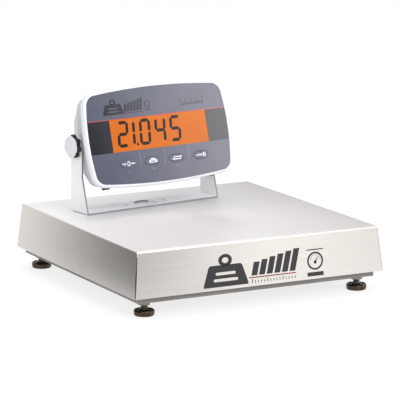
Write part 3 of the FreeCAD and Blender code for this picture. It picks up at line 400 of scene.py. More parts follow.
def threaded(radius, pitch, low, high, head=()):
    """A screw thread with chamfered ends; head is a list of (radius, height) below it."""
    steps = 36
    deep = 0.61 * pitch
    layers = 6
    steepness = 1.25
    rings = [circle(reach, steps, z) for reach, z in head]
    total = max(int((high - low) / pitch * layers), 2)
    for layer in range(total + 1):
        z = low + (high - low) * layer / total
        fade = min((z - low) / pitch, (high - z) / pitch, 1.0)
        ring = []
        for i in range(steps):
            turn = (z / pitch - i / steps) % 1.0
            ridge = abs(2 * turn - 1)
            angle = math.tau * i / steps
            reach = radius - deep * (1 - fade * min(ridge * steepness, 1.0))
            ring.append((reach * math.cos(angle), reach * math.sin(angle), z))
        rings.append(ring)
    return loft(rings)


def plate(outlines, low, high, bevel=0.0):
    """A flat piece from closed outlines, the inner ones holes, from z low to high."""
    curve = bpy.data.curves.new("plate", "CURVE")
    curve.dimensions = "2D"
    curve.fill_mode = "BOTH"
    curve.extrude = (high - low) / 2 - bevel
    curve.bevel_depth = bevel
    curve.bevel_resolution = 2
    curve.offset = -bevel
    for outline in outlines:
        spline = curve.splines.new("POLY")
        spline.points.add(len(outline) - 1)
        for point, (x, y) in zip(spline.points, outline):
            point.co = (x, y, 0.0, 1.0)
        spline.use_cyclic_u = True
    holder = bpy.data.objects.new("plate", curve)
    mesh = bpy.data.meshes.new_from_object(holder)
    bpy.data.objects.remove(holder)
    mesh.transform(Matrix.Translation((0, 0, (low + high) / 2)))
    return mesh


def joined(meshes):
    made = bmesh.new()
    for mesh in meshes:
        made.from_mesh(mesh)
        bpy.data.meshes.remove(mesh)
    mesh = bpy.data.meshes.new("joined")
    made.to_mesh(mesh)
    made.free()
    return mesh


def moved(mesh, matrix):
    mesh.transform(matrix)
    if matrix.determinant() < 0:
        mesh.flip_normals()
    return mesh


def at(x, y, z=0.0):
    return Matrix.Translation((x, y, z))


SHARP_ANGLE = math.radians(35)
MERGE = 0.002


def show(name, mesh, place, body, material, replaces=()):
    """Put a mesh made in millimetres at its place, on its body, with its finish."""
    made = bmesh.new()
    made.from_mesh(mesh)
    bmesh.ops.remove_doubles(made, verts=made.verts, dist=MERGE)
    bmesh.ops.recalc_face_normals(made, faces=made.faces)
    made.to_mesh(mesh)
    made.free()
    mesh.transform(place @ Matrix.Scale(MM, 4))
    mesh.name = name
    mesh.materials.clear()
    mesh.materials.append(material)
    mesh.shade_smooth()
    mesh.set_sharp_from_angle(angle=SHARP_ANGLE)
    thing = bpy.data.objects.new(name, mesh)
    bpy.context.scene.collection.objects.link(thing)
    if body:
        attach(thing, body)
    if replaces:
        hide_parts(*replaces)
    return thing


# Outlines, as lists of (x, y) in millimetres


def rectangle(low_x, low_y, high_x, high_y, corner=0.0):
    if not corner:
        return [(low_x, low_y), (high_x, low_y), (high_x, high_y), (low_x, high_y)]
    steps = 6
    made = arc((high_x - corner, low_y + corner), corner, -90, 0, steps)
    made += arc((high_x - corner, high_y - corner), corner, 0, 90, steps)
    made += arc((low_x + corner, high_y - corner), corner, 90, 180, steps)
    return made + arc((low_x + corner, low_y + corner), corner, 180, 270, steps)


def oval(x, y, half_x, half_y, steps=48):
    return [(x + half_x * math.cos(math.tau * i / steps),
             y + half_y * math.sin(math.tau * i / steps)) for i in range(steps)]


def pillow(half, rise, side_bow, top_bow, corner, lift):
    """A rectangle with four bowed edges and round corners, lifted up by lift."""
    steps = 20
    side_radius = ((rise - top_bow) ** 2 + side_bow ** 2) / (2 * side_bow)
    top_radius = ((half - side_bow) ** 2 + top_bow ** 2) / (2 * top_bow)
    side_x = half - side_radius
    top_y = rise - top_radius
    a = side_radius - corner
    b = top_radius - corner
    gap = math.hypot(side_x, top_y)
    along = (a * a - b * b + gap * gap) / (2 * gap)
    off = math.sqrt(a * a - along * along)
    way = Vector((-side_x, top_y)) / gap
    best = max((Vector((side_x, 0)) + way * along + Vector((-way.y, way.x)) * off * sign
                for sign in (-1, 1)), key=lambda spot: spot.x + spot.y)
    low = math.degrees(math.atan2(best.y, best.x - side_x))
    high = math.degrees(math.atan2(best.y - top_y, best.x))
    quarter = arc((side_x, 0), side_radius, 0, low, steps)
    quarter += arc(best, corner, low, high, steps)[1:]
    quarter += arc((0, top_y), top_radius, high, 90, steps)[1:]
    right = [(x, -y) for x, y in reversed(quarter[1:])] + quarter
    left = [(-x, y) for x, y in reversed(right[1:-1])]
    return [(x, y + lift) for x, y in right + left]


# Places on the object, each with Z out of the surface it belongs to


def surface_place(node, facing):
    """Frame on the largest flat of a node that faces one way: X to its right, Z out of it."""
    mesh = NODES[node].data
    towards = Vector(facing)
    flats = [flat for flat in mesh.polygons if flat.normal.dot(towards) > 0.9]
    biggest = max(flats, key=lambda flat: flat.area)
    z = biggest.normal.copy()
    x = Vector((0, 0, 1)).cross(z).normalized()
    spot = biggest.center.copy()
    return axes(x, z.cross(x), z, spot - x * spot.dot(x))


SKIRT = surface_place("weighing_pan", (0, -1, 0))
OUTWARD = axes(Vector((1, 0, 0)), Vector((0, 0, 1)), Vector((0, -1, 0)), Vector((0, 0, 0)))
INWARD = axes(Vector((-1, 0, 0)), Vector((0, 0, 1)), Vector((0, 1, 0)), Vector((0, 0, 0)))


def on_back(node):
    """Frame that looks out of the back of the housing, on the axis of a round node."""
    low, high = local_box(node, FACE)
    spot = Vector(((low.x + high.x) / 2, 0, (low.z + high.z) / 2))
    return FACE @ Matrix.Translation(spot * MM) @ INWARD


FACE_LOW, FACE_HIGH = local_box("face_overlay", FACE)
FACE_Y = FACE_LOW.y
FACE_HALF = FACE_HIGH.x
FACE_RISE = (FACE_HIGH.z - FACE_LOW.z) / 2
FACE_LIFT = (FACE_HIGH.z + FACE_LOW.z) / 2
FACE_FRONT = FACE @ Matrix.Translation((0, FACE_Y * MM, 0)) @ OUTWARD
SIDE_BOW = 5.0
TOP_BOW = 5.4
FACE_CORNER = 13.0
PRINT = 0.05
INK_TOP = -0.01
LCD_DEPTH = 0.14
WINDOW_LOW, WINDOW_HIGH = local_box("display_window", FACE)
KEYS = ("zero", "print", "units", "tare")
KEY_BOXES = {key: local_box(f"{key}_key", FACE) for key in KEYS}
KEY_GAP = 0.15
BAND_EDGE = 0.45
RED_LINE = 0.9
RED_TAPER = 0.2


def key_middle(key):
    low, high = KEY_BOXES[key]
    return (low.x + high.x) / 2, (low.z + high.z) / 2


def face_outline(inset=0.0):
    return pillow(FACE_HALF - inset, FACE_RISE - inset, SIDE_BOW, TOP_BOW,
                  FACE_CORNER - inset, FACE_LIFT)


def key_outline(key, grow, steps=48):
    low, high = KEY_BOXES[key]
    return oval(*key_middle(key), (high.x - low.x) / 2 + grow, (high.z - low.z) / 2 + grow, steps)


def printed(*outlines):
    """A thin layer of ink in the face, with its top just under the face's surface."""
    return plate(outlines, -PRINT, INK_TOP)


def show_print(name, meshes, material):
    show(name, joined(meshes), FACE_FRONT, "indicator", material)


def overlay():
    """The printed film: its plate, the dark band with its red edge, and the printed marks."""
    thick = FACE_HIGH.y - FACE_Y
    holes = [key_outline(key, KEY_GAP) for key in KEYS]
    window = rectangle(WINDOW_LOW.x, WINDOW_LOW.z, WINDOW_HIGH.x, WINDOW_HIGH.z)
    sheet = plate([face_outline(), window] + holes, -thick, -PRINT)
    show("overlay_film", sheet, FACE_FRONT, "indicator", FILM_SLATE,
         ["face_overlay"])
    band()
    show_print("overlay_emblem", emblem_marks(), INK_DARK)
    show_print("overlay_scale_marks", scale_marks(), INK_DARK)
    show_print("overlay_separators", key_separators(), INK_LIGHT)
    show_print("overlay_key_marks", key_marks(), INK_LIGHT)


def key_separators():
    """Upright hair lines between the keys."""
    half = 0.22
    tall = 18.5
    top = WINDOW_LOW.z - 1.6
    made = []
    for first, second in zip(KEYS, KEYS[1:]):
        x = (key_middle(first)[0] + key_middle(second)[0]) / 2
        made.append(printed(rectangle(x - half, top - tall, x + half, top)))
    return made


def key_marks():
    """A long and a short dash under each key, as (half width, drop to its low and high edge)."""
    made = []
    for key in KEYS:
        x = key_middle(key)[0]
        low = KEY_BOXES[key][0].z
        for half, bottom, top in ((1.6, 4.4, 3.9), (0.9, 3.2, 2.8)):
            made.append(printed(rectangle(x - half, low - bottom, x + half, low - top)))
    return made


def clipped_band(low_x, high_x, low_y, high_y, inset):
    """The part of the face between two heights, on one side of the window."""
    edge = [(x, y) for x, y in face_outline(inset) if low_y < y < high_y and low_x < x < high_x]
    if high_x > 0:
        edge.sort(key=lambda spot: spot[1])
        return [(low_x, low_y), (edge[0][0], low_y)] + edge + [(edge[-1][0], high_y),
                                                               (low_x, high_y)]
    edge.sort(key=lambda spot: -spot[1])
    return [(high_x, high_y), (edge[0][0], high_y)] + edge + [(edge[-1][0], low_y),
                                                              (high_x, low_y)]


def band():
    """The dark band on both sides of the display, and the red line on top of it."""
    low = WINDOW_LOW.z
    high = WINDOW_HIGH.z
    left = clipped_band(-FACE_HALF, WINDOW_LOW.x, low, high, BAND_EDGE)
    right = clipped_band(WINDOW_HIGH.x, FACE_HALF, low, high, BAND_EDGE)
    meshes = [plate([left], -PRINT, 0), plate([right], -PRINT, 0)]
    show_print("overlay_band", meshes, INK_BAND)
    reach = max(spot[0] for spot in left + right)
    line = [(-reach, high), (reach, high), (reach - RED_TAPER, high + RED_LINE),
            (-reach + RED_TAPER, high + RED_LINE)]
    show_print("overlay_red_line", [plate([line], -PRINT, 0)], INK_RED)


def pictogram(size, low, high, place):
    """A balance weight with two slots and a ring on top, size high, from z low to high."""
    body = [(-0.62, 0.0), (0.62, 0.0), (0.62, 0.07), (0.47, 0.62), (0.42, 0.67),
            (-0.42, 0.67), (-0.47, 0.62), (-0.62, 0.07)]
    slots = [rectangle(-0.34, 0.16, 0.34, 0.25, 0.04), rectangle(-0.28, 0.36, 0.28, 0.45, 0.04)]
    ring = [oval(0, 0.81, 0.19, 0.19), oval(0, 0.81, 0.09, 0.09)]
    shapes = [[[(x * size, y * size) for x, y in outline] for outline in shape]
              for shape in ([body] + slots, ring)]
    return moved(joined([plate(shape, low, high) for shape in shapes]), place)


def slanted(x, y, wide, tall, lean):
    """A bar with its lower left corner at x, y, whose top is shifted by lean times its height."""
    shift = lean * tall
    return [(x, y), (x + wide, y), (x + wide + shift, y + tall), (x + shift, y + tall)]


def emblem_marks():
    """Generic print at the upper left of the face: a weight, a row of bars, a rule and a dial."""
    weight_place = at(-59.5, 28.6) @ Matrix.Diagonal((1.3, 1.0, 1.0, 1.0))
    made = [pictogram(18.0, -PRINT, INK_TOP, weight_place)]
    bar_start, bar_step, bar_foot, bar_wide, lean = -45.0, 4.3, 31.0, 3.4, 0.2
    for index in range(6):
        tall = 8.5 + 1.1 * index
        x = bar_start + bar_step * index
        made.append(printed(slanted(x, bar_foot, bar_wide, tall, lean)))
    made.append(printed(rectangle(-46.0, 28.9, -20.5, 29.7)))
    x, y = -11.5, 37.0
    made.append(printed(oval(x, y, 4.2, 4.2), oval(x, y, 3.2, 3.2)))
    made.append(printed([(x - 0.5, y - 2.1), (x + 0.5, y - 2.1), (x + 1.3, y + 2.4)]))
    made.append(printed(rectangle(x - 3.9, y - 6.8, x + 3.9, y - 5.6)))
    return made


def scale_marks():
    """Generic print at the upper right of the face: a short graduated scale."""
    start, end, foot, line = 35.3, 67.7, 31.2, 0.9
    half = 0.4
    count = 17
    step = (end - start - 2 * half) / (count - 1)
    made = [printed(rectangle(start, foot, end, foot + line))]
    for index in range(count):
        x = start + half + step * index
        tall = 7.0 if index % 8 == 0 else 4.6 if index % 4 == 0 else 2.6
        made.append(printed(rectangle(x - half, foot + line, x + half, foot + line + tall)))
    return made


# Seven segment digits


def segment(x, y, long, thick, upright):
    """One pointed bar with its middle at x, y."""
    half = long / 2
    side = thick / 2
    spots = [(-half, 0), (-half + side, -side), (half - side, -side), (half, 0),
             (half - side, side), (-half + side, side)]
    return [(x + (b if upright else a), y + (-a if upright else b)) for a, b in spots]


SEGMENTS = {"0": "abcdef", "1": "bc", "2": "abged", "4": "fgbc", "5": "afgcd"}
READING = "21045"
DIGIT_TALL = 30.5
DIGIT_WIDE = 15.6
DIGIT_THICK = 3.7
# Middles of the five figures and of the point, along the face from its middle
FIGURE_PLACES = (-50.6, -41.4, -19.7, 1.9, 23.2)
POINT_PLACE = -31.0
POINT_RADIUS = 1.6
DIGIT_LEAN = 0.075
DIGIT_LIFT = 1.3
SEGMENT_GAP = 0.35


def digits():
    """A five figure reading with its point, drawn just above the display's panel."""
    half = (DIGIT_TALL - DIGIT_THICK) / 2
    side = (DIGIT_WIDE - DIGIT_THICK) / 2
    upright = half - SEGMENT_GAP
    across = 2 * side - SEGMENT_GAP
    spots = {"a": (0, half, across, False), "g": (0, 0, across, False),
             "d": (0, -half, across, False), "f": (-side, half / 2, upright, True),
             "b": (side, half / 2, upright, True), "e": (-side, -half / 2, upright, True),
             "c": (side, -half / 2, upright, True)}
    middle = (WINDOW_LOW.z + WINDOW_HIGH.z) / 2 + DIGIT_LIFT

    def leaning(outline, x):
        leant = [(x + a + DIGIT_LEAN * b, middle + b) for a, b in outline]
        return plate([leant], -LCD_DEPTH, -LCD_DEPTH + PRINT)

    made = []
    for figure, x in zip(READING, FIGURE_PLACES):
        for name in SEGMENTS[figure]:
            a, b, long, turned = spots[name]
            made.append(leaning(segment(a, b, long, DIGIT_THICK, turned), x))
    made.append(leaning(oval(0, -half, POINT_RADIUS, POINT_RADIUS, 20), POINT_PLACE))
    show("lcd_digits", joined(made), FACE_FRONT, "indicator", INK_DIGIT)


def lcd():
    """The display: its amber panel in the window of the overlay, with a little play."""
    thick = WINDOW_HIGH.y - WINDOW_LOW.y
    play = 0.05
    outline = rectangle(WINDOW_LOW.x + play, WINDOW_LOW.z + play, WINDOW_HIGH.x - play,
                        WINDOW_HIGH.z - play)
    show("lcd_panel", plate([outline], -thick, -LCD_DEPTH), FACE_FRONT, "indicator",
         LCD_AMBER, ["display_window"])
    digits()


# Keys


def key_cap(key):
    """A domed oval key with a raised rim. It returns how far the key stands out of the face."""
    low, high = KEY_BOXES[key]
    back = high.y - FACE_Y
    proud = FACE_Y - low.y
    profile = [(0.0, -back), (0.0, proud * 0.35), (0.16, proud * 0.72), (0.45, proud * 0.94),
               (0.85, proud), (1.35, proud * 0.97), (1.7, proud * 0.8), (2.1, proud * 0.68),
               (3.2, proud * 0.74), (4.4, proud * 0.8)]
    rings = [[(a, b, z) for a, b in key_outline(key, -inset, 64)] for inset, z in profile]
    show(f"{key}_cap", loft(rings), FACE_FRONT, f"{key}_key", FILM_KEY,
         [f"{key}_key"])
    return proud


def arrow(x, y, long, thick, way):
    """A small arrow with its tip at x, y, pointing left (-1) or right (1)."""
    back = x - way * long
    neck = x - way * thick * 1.9
    return [(x, y), (neck, y + thick * 1.3), (neck, y + thick / 2), (back, y + thick / 2),
            (back, y - thick / 2), (neck, y - thick / 2), (neck, y - thick * 1.3)]


def key_icons():
    """White generic marks on the keys: zero, print, change of unit and tare."""
    thick = 0.8
    icons = {
        "zero": [[oval(0, 0, 1.7, 2.2), oval(0, 0, 0.9, 1.4)],
                 [arrow(-2.6, 0, 4.4, thick, 1)], [arrow(2.6, 0, 4.4, thick, -1)]],
        "print": [[rectangle(-4.4, -1.6, 4.4, 0.9, 0.3), rectangle(-2.6, -1.0, 2.6, 0.0)],
                  [rectangle(-2.6, 1.2, 2.6, 2.3)]],
        "units": [[arrow(5.4, 0.95, 9.6, thick, 1)], [arrow(-5.4, -0.95, 9.6, thick, -1)]],
        "tare": [[arrow(2.0, 0, 7.2, thick, 1)], [rectangle(2.6, -2.2, 3.5, 2.2)],
                 [rectangle(4.3, -2.2, 5.2, 2.2)]],
    }
    for key in KEYS:
        top = key_cap(key) * 0.83
        bold = at(*key_middle(key)) @ Matrix.Diagonal((1.25, 1.35, 1.0, 1.0))
        made = [moved(plate(outlines, top - 0.08, top), bold) for outlines in icons[key]]
        show(f"{key}_icon", joined(made), FACE_FRONT, f"{key}_key", INK_WHITE)


# Print on the front of the pan


def skirt_print():
    """Generic decals: a weight, slanted bars over a graduated rule, a red line and a dial."""
    thick = 0.06
    lift = 0.4
    black = []

    def stamp(*outlines):
        black.append(plate(outlines, 0.0, thick))

    weight_place = at(-45.0, lift - 13.5) @ Matrix.Diagonal((1.25, 1.0, 1.0, 1.0))
    black.append(pictogram(36.0, 0.0, thick, weight_place))
    bar_start, bar_step, bar_wide, bar_lean = -13.0, 9.7, 7.4, 0.26
    for index in range(6):
        tall = 15.0 + 2.0 * index
        stamp(slanted(bar_start + bar_step * index, lift - 5.0, bar_wide, tall, bar_lean))
    rule_start, rule_step, rule_foot = -12.5, 3.9, lift - 13.4
    for index in range(15):
        x = rule_start + rule_step * index
        tall = 4.4 if index % 5 == 0 else 2.8
        stamp(rectangle(x, rule_foot, x + 0.9, rule_foot + tall))
    dial(69.0, lift + 3.4, stamp)
    show("skirt_print_black", joined(black), SKIRT, "pan", INK_BLACK)
    red = plate([rectangle(-16.0, lift - 7.9, 44.0, lift - 6.6)], 0.0, thick)
    show("skirt_print_red", red, SKIRT, "pan", SKIRT_RED)


def dial(x, y, stamp):
    """A round dial with a pointer and dots, between two bars, with its middle at x, y."""
    stamp(oval(x, y, 10.3, 10.3), oval(x, y, 8.2, 8.2))
    stamp(oval(x, y - 1.5, 1.9, 1.9, 24))
    stamp([(x - 0.9, y - 1.0), (x + 0.9, y - 1.8), (x + 4.2, y + 5.6)])
    dot, dot_ring = 0.55, 6.6
    for index in range(7):
        angle = math.radians(20 + 23.3 * index)
        stamp(oval(x + dot_ring * math.cos(angle), y + dot_ring * math.sin(angle), dot, dot, 12))
    for bottom, top in ((-17.2, -12.6), (12.2, 13.4)):
        stamp(rectangle(x - 10.4, y + bottom, x + 10.4, y + top))


# Knobs

LOBES = 7
LOBE_CORE = 10.8
LOBE_RING = 10.4
LOBE_RADIUS = 3.6
LOBE_SOFT = 0.25
CAP_RADIUS = 12.6
CAP_SHARE = 0.25
CAP_DISH = 0.45
STUD_RADIUS = 3.0
STUD_PITCH = 1.0
WASHER_BORE = 3.05


def lobe_reach(angle, inset):
    """Distance from the knob's axis to its outline, soft where a lobe meets the core."""
    step = math.tau / LOBES
    off = (angle + step / 2) % step - step / 2
    core = LOBE_CORE - inset
    lobe = LOBE_RADIUS - inset
    side = LOBE_RING * math.sin(off)
    if abs(side) >= lobe:
        return core
    far = LOBE_RING * math.cos(off) + math.sqrt(lobe * lobe - side * side)
    near = math.exp(-abs(core - far) / LOBE_SOFT)
    return max(core, far) + LOBE_SOFT * (math.log(1 + near) - math.log(2) * near)


def lobe_ring(z, inset, share=1.0):
    """Outline of the knob at one height; share 0 is a plain circle, 1 the full lobes."""
    steps = 196
    made = []
    for index in range(steps):
        angle = math.tau * index / steps
        reach = lobe_reach(angle, inset) * share + (CAP_RADIUS - inset) * (1 - share)
        made.append((reach * math.cos(angle), reach * math.sin(angle), z))
    return made


def knob(side, sign):
    """A lobed clamp knob: black grip with a white face, and the stud in it."""
    out = Vector((sign, 0, 0))
    across = Vector((0, 1, 0))
    place = FACE @ axes(across, out.cross(across), out, Vector((0, 0, 0)))
    low, high = local_box(f"knob_grip_{side}", place)
    grip = [lobe_ring(low.z, 2.2), lobe_ring(low.z, 0.9), lobe_ring(low.z + 0.25, 0.4),
            lobe_ring(low.z + 0.8, 0.06), lobe_ring(high.z - 0.9, 0.06),
            lobe_ring(high.z - 0.3, 0.35), lobe_ring(high.z, 0.8)]
    show(f"knob_{side}_grip", loft(grip), place, f"knob_{side}", BLACK,
         [f"knob_grip_{side}"])
    low, high = local_box(f"knob_face_{side}", place)
    dish = high.z - CAP_DISH
    rises = ((low.z, 1.0), (low.z, 0.75), (low.z + 0.2, 0.55), (high.z - 0.9, 0.55),
             (high.z - 0.3, 0.85), (high.z, 1.5), (high.z, 2.3),
             (high.z - CAP_DISH * 0.6, 2.8), (dish, 3.4))
    cap = [lobe_ring(z, inset, CAP_SHARE) for z, inset in rises]
    steps = len(cap[0])
    cap += [circle(5.2, steps, dish), circle(4.9, steps, high.z - CAP_DISH * 0.5),
            circle(4.2, steps, high.z - 0.1), circle(2.0, steps, high.z)]
    show(f"knob_{side}_face", loft(cap), place, f"knob_{side}", WHITE,
         [f"knob_face_{side}"])
    low, high = local_box(f"knob_stud_{side}", place)
    show(f"knob_{side}_screw", threaded(STUD_RADIUS, STUD_PITCH, low.z, high.z), place,
         f"knob_{side}", ZINC_PAINTED_SHADE, [f"knob_stud_{side}"])
    low, high = local_box(f"knob_washer_{side}", place)
    chamfer = 0.15
    ring = [(high.x - chamfer, low.z), (high.x, low.z + chamfer), (high.x, high.z - chamfer),
            (high.x - chamfer, high.z), (WASHER_BORE + chamfer, high.z),
            (WASHER_BORE, high.z - chamfer), (WASHER_BORE, low.z + chamfer),
            (WASHER_BORE + chamfer, low.z)]
    show(f"knob_{side}_washer", lathe(ring, 64, True), place, f"washer_{side}", ZINC_PAINTED_SHADE,
         [f"knob_washer_{side}"])


# Feet and their lock nuts

CORNERS = ("front_left", "front_right", "rear_left", "rear_right")
FOOT_THREAD = 4.0
FOOT_BORE = 4.05
FOOT_PITCH = 1.25
NUT_ACROSS = 13.0


def foot(corner):
    """A dished foot with a rolled rim, and its threaded stud with a collar."""
    low, high = local_box(f"foot_pad_{corner}", ROW)
    middle = (low + high) / 2
    place = at(middle.x * MM, middle.y * MM)
    radius = (high.x - low.x) / 2
    top = high.z
    bore = FOOT_BORE
    crown, skid = 1.9, 1.2
    profile = [(bore, 2.6), (bore, top - 0.5), (bore + 0.5, top), (6.4, top), (6.9, top - 0.6),
               (7.6, top - 1.2), (8.8, top - 1.25), (9.5, top - 0.6), (10.0, top - 0.15)]
    profile += arc((radius - crown, top - crown), crown, 75, 0, 6)
    profile += [(radius, 2.4), (radius - 0.5, 1.5), (radius - 0.5, 1.2)]
    profile += arc((radius - 1.6, skid), skid, -20, -90, 5)
    profile += [(bore + 2.0, 0.0), (bore + 1.6, 0.5), (0.6, 0.5), (0.6, 2.6)]
    show(f"foot_{corner}", lathe(profile, 72, True), place, f"foot_{corner}", FOOT,
         [f"foot_pad_{corner}"])
    low, high = local_box(f"foot_stud_{corner}", ROW)
    collar = (high.x - low.x) / 2
    start = top + 0.2
    neck = [(0.8, low.z), (3.3, low.z), (3.9, low.z + 0.5), (3.9, start), (collar - 0.3, start),
            (collar, start + 0.3), (collar, start + 0.9), (collar - 0.3, start + 1.2),
            (4.2, start + 1.2), (3.4, start + 1.4)]
    stud = threaded(FOOT_THREAD, FOOT_PITCH, start + 1.5, high.z, neck)
    show(f"stud_{corner}", stud, place, f"stud_{corner}", ZINC_PAINTED_SHADE,
         [f"foot_stud_{corner}"])


def lock_nuts():
    """The nut on each foot's stud, against the frame."""
    low, high = local_box("foot_lock_nuts", ROW)
    made = []
    for corner in CORNERS:
        pad_low, pad_high = local_box(f"foot_pad_{corner}", ROW)
        middle = (pad_low + pad_high) / 2
        made.append(moved(nut(NUT_ACROSS, FOOT_BORE, low.z, high.z), at(middle.x, middle.y)))
    show("lock_nuts", joined(made), ROW, "base", ZINC_PAINTED_SHADE, ["foot_lock_nuts"])


# Back of the housing


def cross_head(radius, low, high):
    """A pan head screw with a cross recess."""
    steps = 64
    deep = 1.3
    dome = [(radius, low), (radius, low + 0.9), (radius * 0.93, high - 0.75),
            (radius * 0.75, high - 0.28), (radius * 0.62, high - 0.12)]
    rings = [circle(reach, steps, z) for reach, z in dome]

    def cross(reach, slot, z):
        made = []
        for index in range(steps):
            angle = math.tau * index / steps
            a, b = math.cos(angle), math.sin(angle)
            far = min(reach, slot / max(min(abs(a), abs(b)), 1e-6))
            made.append((far * a, far * b, z))
        return made

    rings += [cross(radius * 0.55, 0.32, high - 0.08), cross(radius * 0.4, 0.24, high - deep)]
    return loft(rings)


def shell_screws():
    """The four screws that close the housing, in their sunk holes at the back."""
    low, high = local_box("shell_screws", FACE)
    head = 2.9
    seat = high.y - 2.8
    made = []
    for x in (low.x + head, high.x - head):
        for z in (low.z + head, high.z - head):
            made.append(moved(cross_head(head, seat, high.y), at(-x, z)))
            made.append(moved(threaded(1.5, 0.9, low.y, seat), at(-x, z)))
    show("housing_screws", joined(made), FACE @ INWARD, "indicator", ZINC_PAINTED_SHADE,
         ["shell_screws"])


def gland():
    """Cable gland: body with a hexagon, a domed clamping nut and a rubber seal."""
    place = on_back("cell_lead_gland")
    low, high = local_box("cell_lead_gland", place)
    radius = high.x
    bore = 2.6
    flange = low.z + 3.5
    shoulder = flange + 3.6
    dome = shoulder + 0.6
    seal = high.z - 0.8
    hexagon = hex_rings(radius * 1.74, flange, shoulder)
    steps = len(hexagon[0])
    below = [(bore, low.z), (radius - 1.5, low.z), (radius - 1.5, flange)]
    above = [(radius - 1.9, shoulder), (radius - 1.9, dome), (radius - 0.6, dome),
             (radius - 0.6, high.z - 3.2), (radius - 1.1, high.z - 1.8),
             (radius - 2.3, high.z - 0.6), (radius - 3.6, high.z), (bore + 1.2, high.z),
             (bore + 1.2, seal), (bore, seal)]
    rings = [circle(reach, steps, z) for reach, z in below] + hexagon
    rings += [circle(reach, steps, z) for reach, z in above]
    show("gland_body", loft(rings, True), place, "indicator", BLACK,
         ["cell_lead_gland"])


def jack():
    """Power socket: a threaded ring nut round a pin socket."""
    place = on_back("power_jack")
    low, high = local_box("power_jack", place)
    radius = high.x
    bore = 2.8
    rings = [(bore, low.z), (radius - 1.5, low.z), (radius - 1.5, low.z + 2.5),
             (radius, low.z + 2.5), (radius, high.z - 0.5), (radius - 0.5, high.z),
             (bore + 0.9, high.z), (bore, high.z - 0.9)]
    show("jack_body", lathe(rings, 64, True), place, "indicator", BLACK,
         ["power_jack"])


# Under the pan

CELL_HOLE = 11.0
CELL_BORE = 7.5


def load_cell():
    """The cell's bar with a window of two joined bores."""
    low, high = local_box("load_cell", ROW)
    rise = (high.z - low.z) / 2
    window = []
    for x, start in ((CELL_HOLE, -165), (-CELL_HOLE, 15)):
        window += arc((x, 0), CELL_BORE, start, start + 330, 40)
    bar = plate([rectangle(low.x, -rise, high.x, rise, 0.6), window], low.y, high.y, 0.3)
    side = axes(Vector((1, 0, 0)), Vector((0, 0, 1)), Vector((0, -1, 0)),
                Vector((0, 0, (low.z + high.z) / 2 * MM)))
    made = show("load_cell_bar", bar, side, None, ALLOY, ["load_cell"])
    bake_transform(made)


def bubble():
    """Bubble level: a metal cup and a domed glass with a ring mark."""
    low, high = local_box("bubble_level", ROW)
    middle = (low + high) / 2
    radius = (high.x - low.x) / 2
    place = at(middle.x * MM, middle.y * MM)
    cup = [(radius, low.z), (radius, high.z - 1.2), (radius - 0.5, high.z - 0.6),
           (radius - 1.3, high.z - 0.6), (radius - 1.5, high.z - 1.1),
           (radius - 1.5, low.z + 0.6), (0.4, low.z + 0.6), (0.4, low.z)]
    show("level_cup", lathe(cup, 64, True), place, "base", ALLOY,
         ["bubble_level"])
    glass = [(radius - 1.6, low.z + 0.7), (radius - 1.6, high.z - 1.1),
             (radius - 2.3, high.z - 0.6), (radius - 3.6, high.z - 0.25), (1.2, high.z - 0.05)]
    show("level_glass", lathe(glass, 64), place, "base", LEVEL)
    ring = [(3.0, high.z - 0.2), (3.0, high.z - 0.12), (3.3, high.z - 0.14),
            (3.3, high.z - 0.22)]
    show("level_ring", lathe(ring, 48, True), place, "base", INK_BLACK)


def stop_screws():
    """Overload stops: hexagon head screws with their nuts under the cross bars."""
    low, high = local_box("overload_stop_screws", ROW)
    nut_low, nut_high = local_box("overload_stop_nuts", ROW)
    bar_low, bar_high = local_box("spider_left_bar", ROW)
    x = -(bar_low.x + bar_high.x) / 2
    corner = local_box("foot_pad_front_right", ROW)
    y = -(corner[0].y + corner[1].y) / 2
    screws = []
    nuts = []
    for sign_x in (-1, 1):
        for sign_y in (-1, 1):
            spot = at(sign_x * x, sign_y * y)
            head = loft(hex_rings(NUT_ACROSS, bar_high.z, high.z, (False, True)))
            shank = threaded(FOOT_THREAD, FOOT_PITCH, low.z, bar_high.z)
            screws += [moved(head, spot), moved(shank, spot)]
            nuts.append(moved(nut(NUT_ACROSS, FOOT_THREAD, nut_low.z, nut_high.z), spot))
    show("stop_screws", joined(screws), ROW, "platform", ZINC_PAINTED_SHADE,
         ["overload_stop_screws"])
    show("stop_nuts", joined(nuts), ROW, "platform", ZINC_PAINTED_SHADE, ["overload_stop_nuts"])


def socket_head(radius, low, high):
    """A socket head with a knurled side and a hexagon socket, from its seat up to its top."""
    steps = 72
    deep = 2.4
    key = 5.0
    groove = 0.18
    angles = [math.tau * i / steps for i in range(steps)]

    def ring(reaches, z):
        return [(reach * math.cos(a), reach * math.sin(a), z)
                for reach, a in zip(reaches, angles)]

    knurl = [radius - groove * (i % 2) for i in range(steps)]
    socket = [hexagon_reach(a, key) for a in angles]
    return loft([circle(radius - 0.4, steps, low), ring(knurl, low + 0.5),
                 ring(knurl, high - 0.6), circle(radius - 0.5, steps, high),
                 ring(socket, high), ring(socket, high - deep)])


def cell_bolts():
    """The four socket head bolts of the load cell, heads down at one end and up at the other."""
    for name, sign in (("cell_lower_bolts", -1), ("cell_upper_bolts", 1)):
        low, high = local_box(name, ROW)
        head, tall = 5.0, 4.0
        x = (low.x + high.x) / 2
        y = (high.y - low.y) / 2 - head
        end, top = (low.z, high.z) if sign > 0 else (-high.z, -low.z)
        seat = top - tall
        made = []
        for side in (-y, y):
            place = at(x, side) @ Matrix.Diagonal((1, 1, sign, 1))
            made.append(moved(socket_head(head, seat, top), place))
            made.append(moved(threaded(3.0, 1.0, end, seat), place))
        body = "base" if sign < 0 else "platform"
        show(f"{name}_made", joined(made), ROW, body, ZINC_PAINTED_SHADE, [name])


overlay()
lcd()
key_icons()
skirt_print()
for side, sign in (("left", -1), ("right", 1)):
    knob(side, sign)
for corner in CORNERS:
    foot(corner)
lock_nuts()
shell_screws()
gland()
jack()
load_cell()
bubble()
stop_screws()
cell_bolts()


# Camera, light and floor. Places and sizes of lights, panels and floor are in metres.

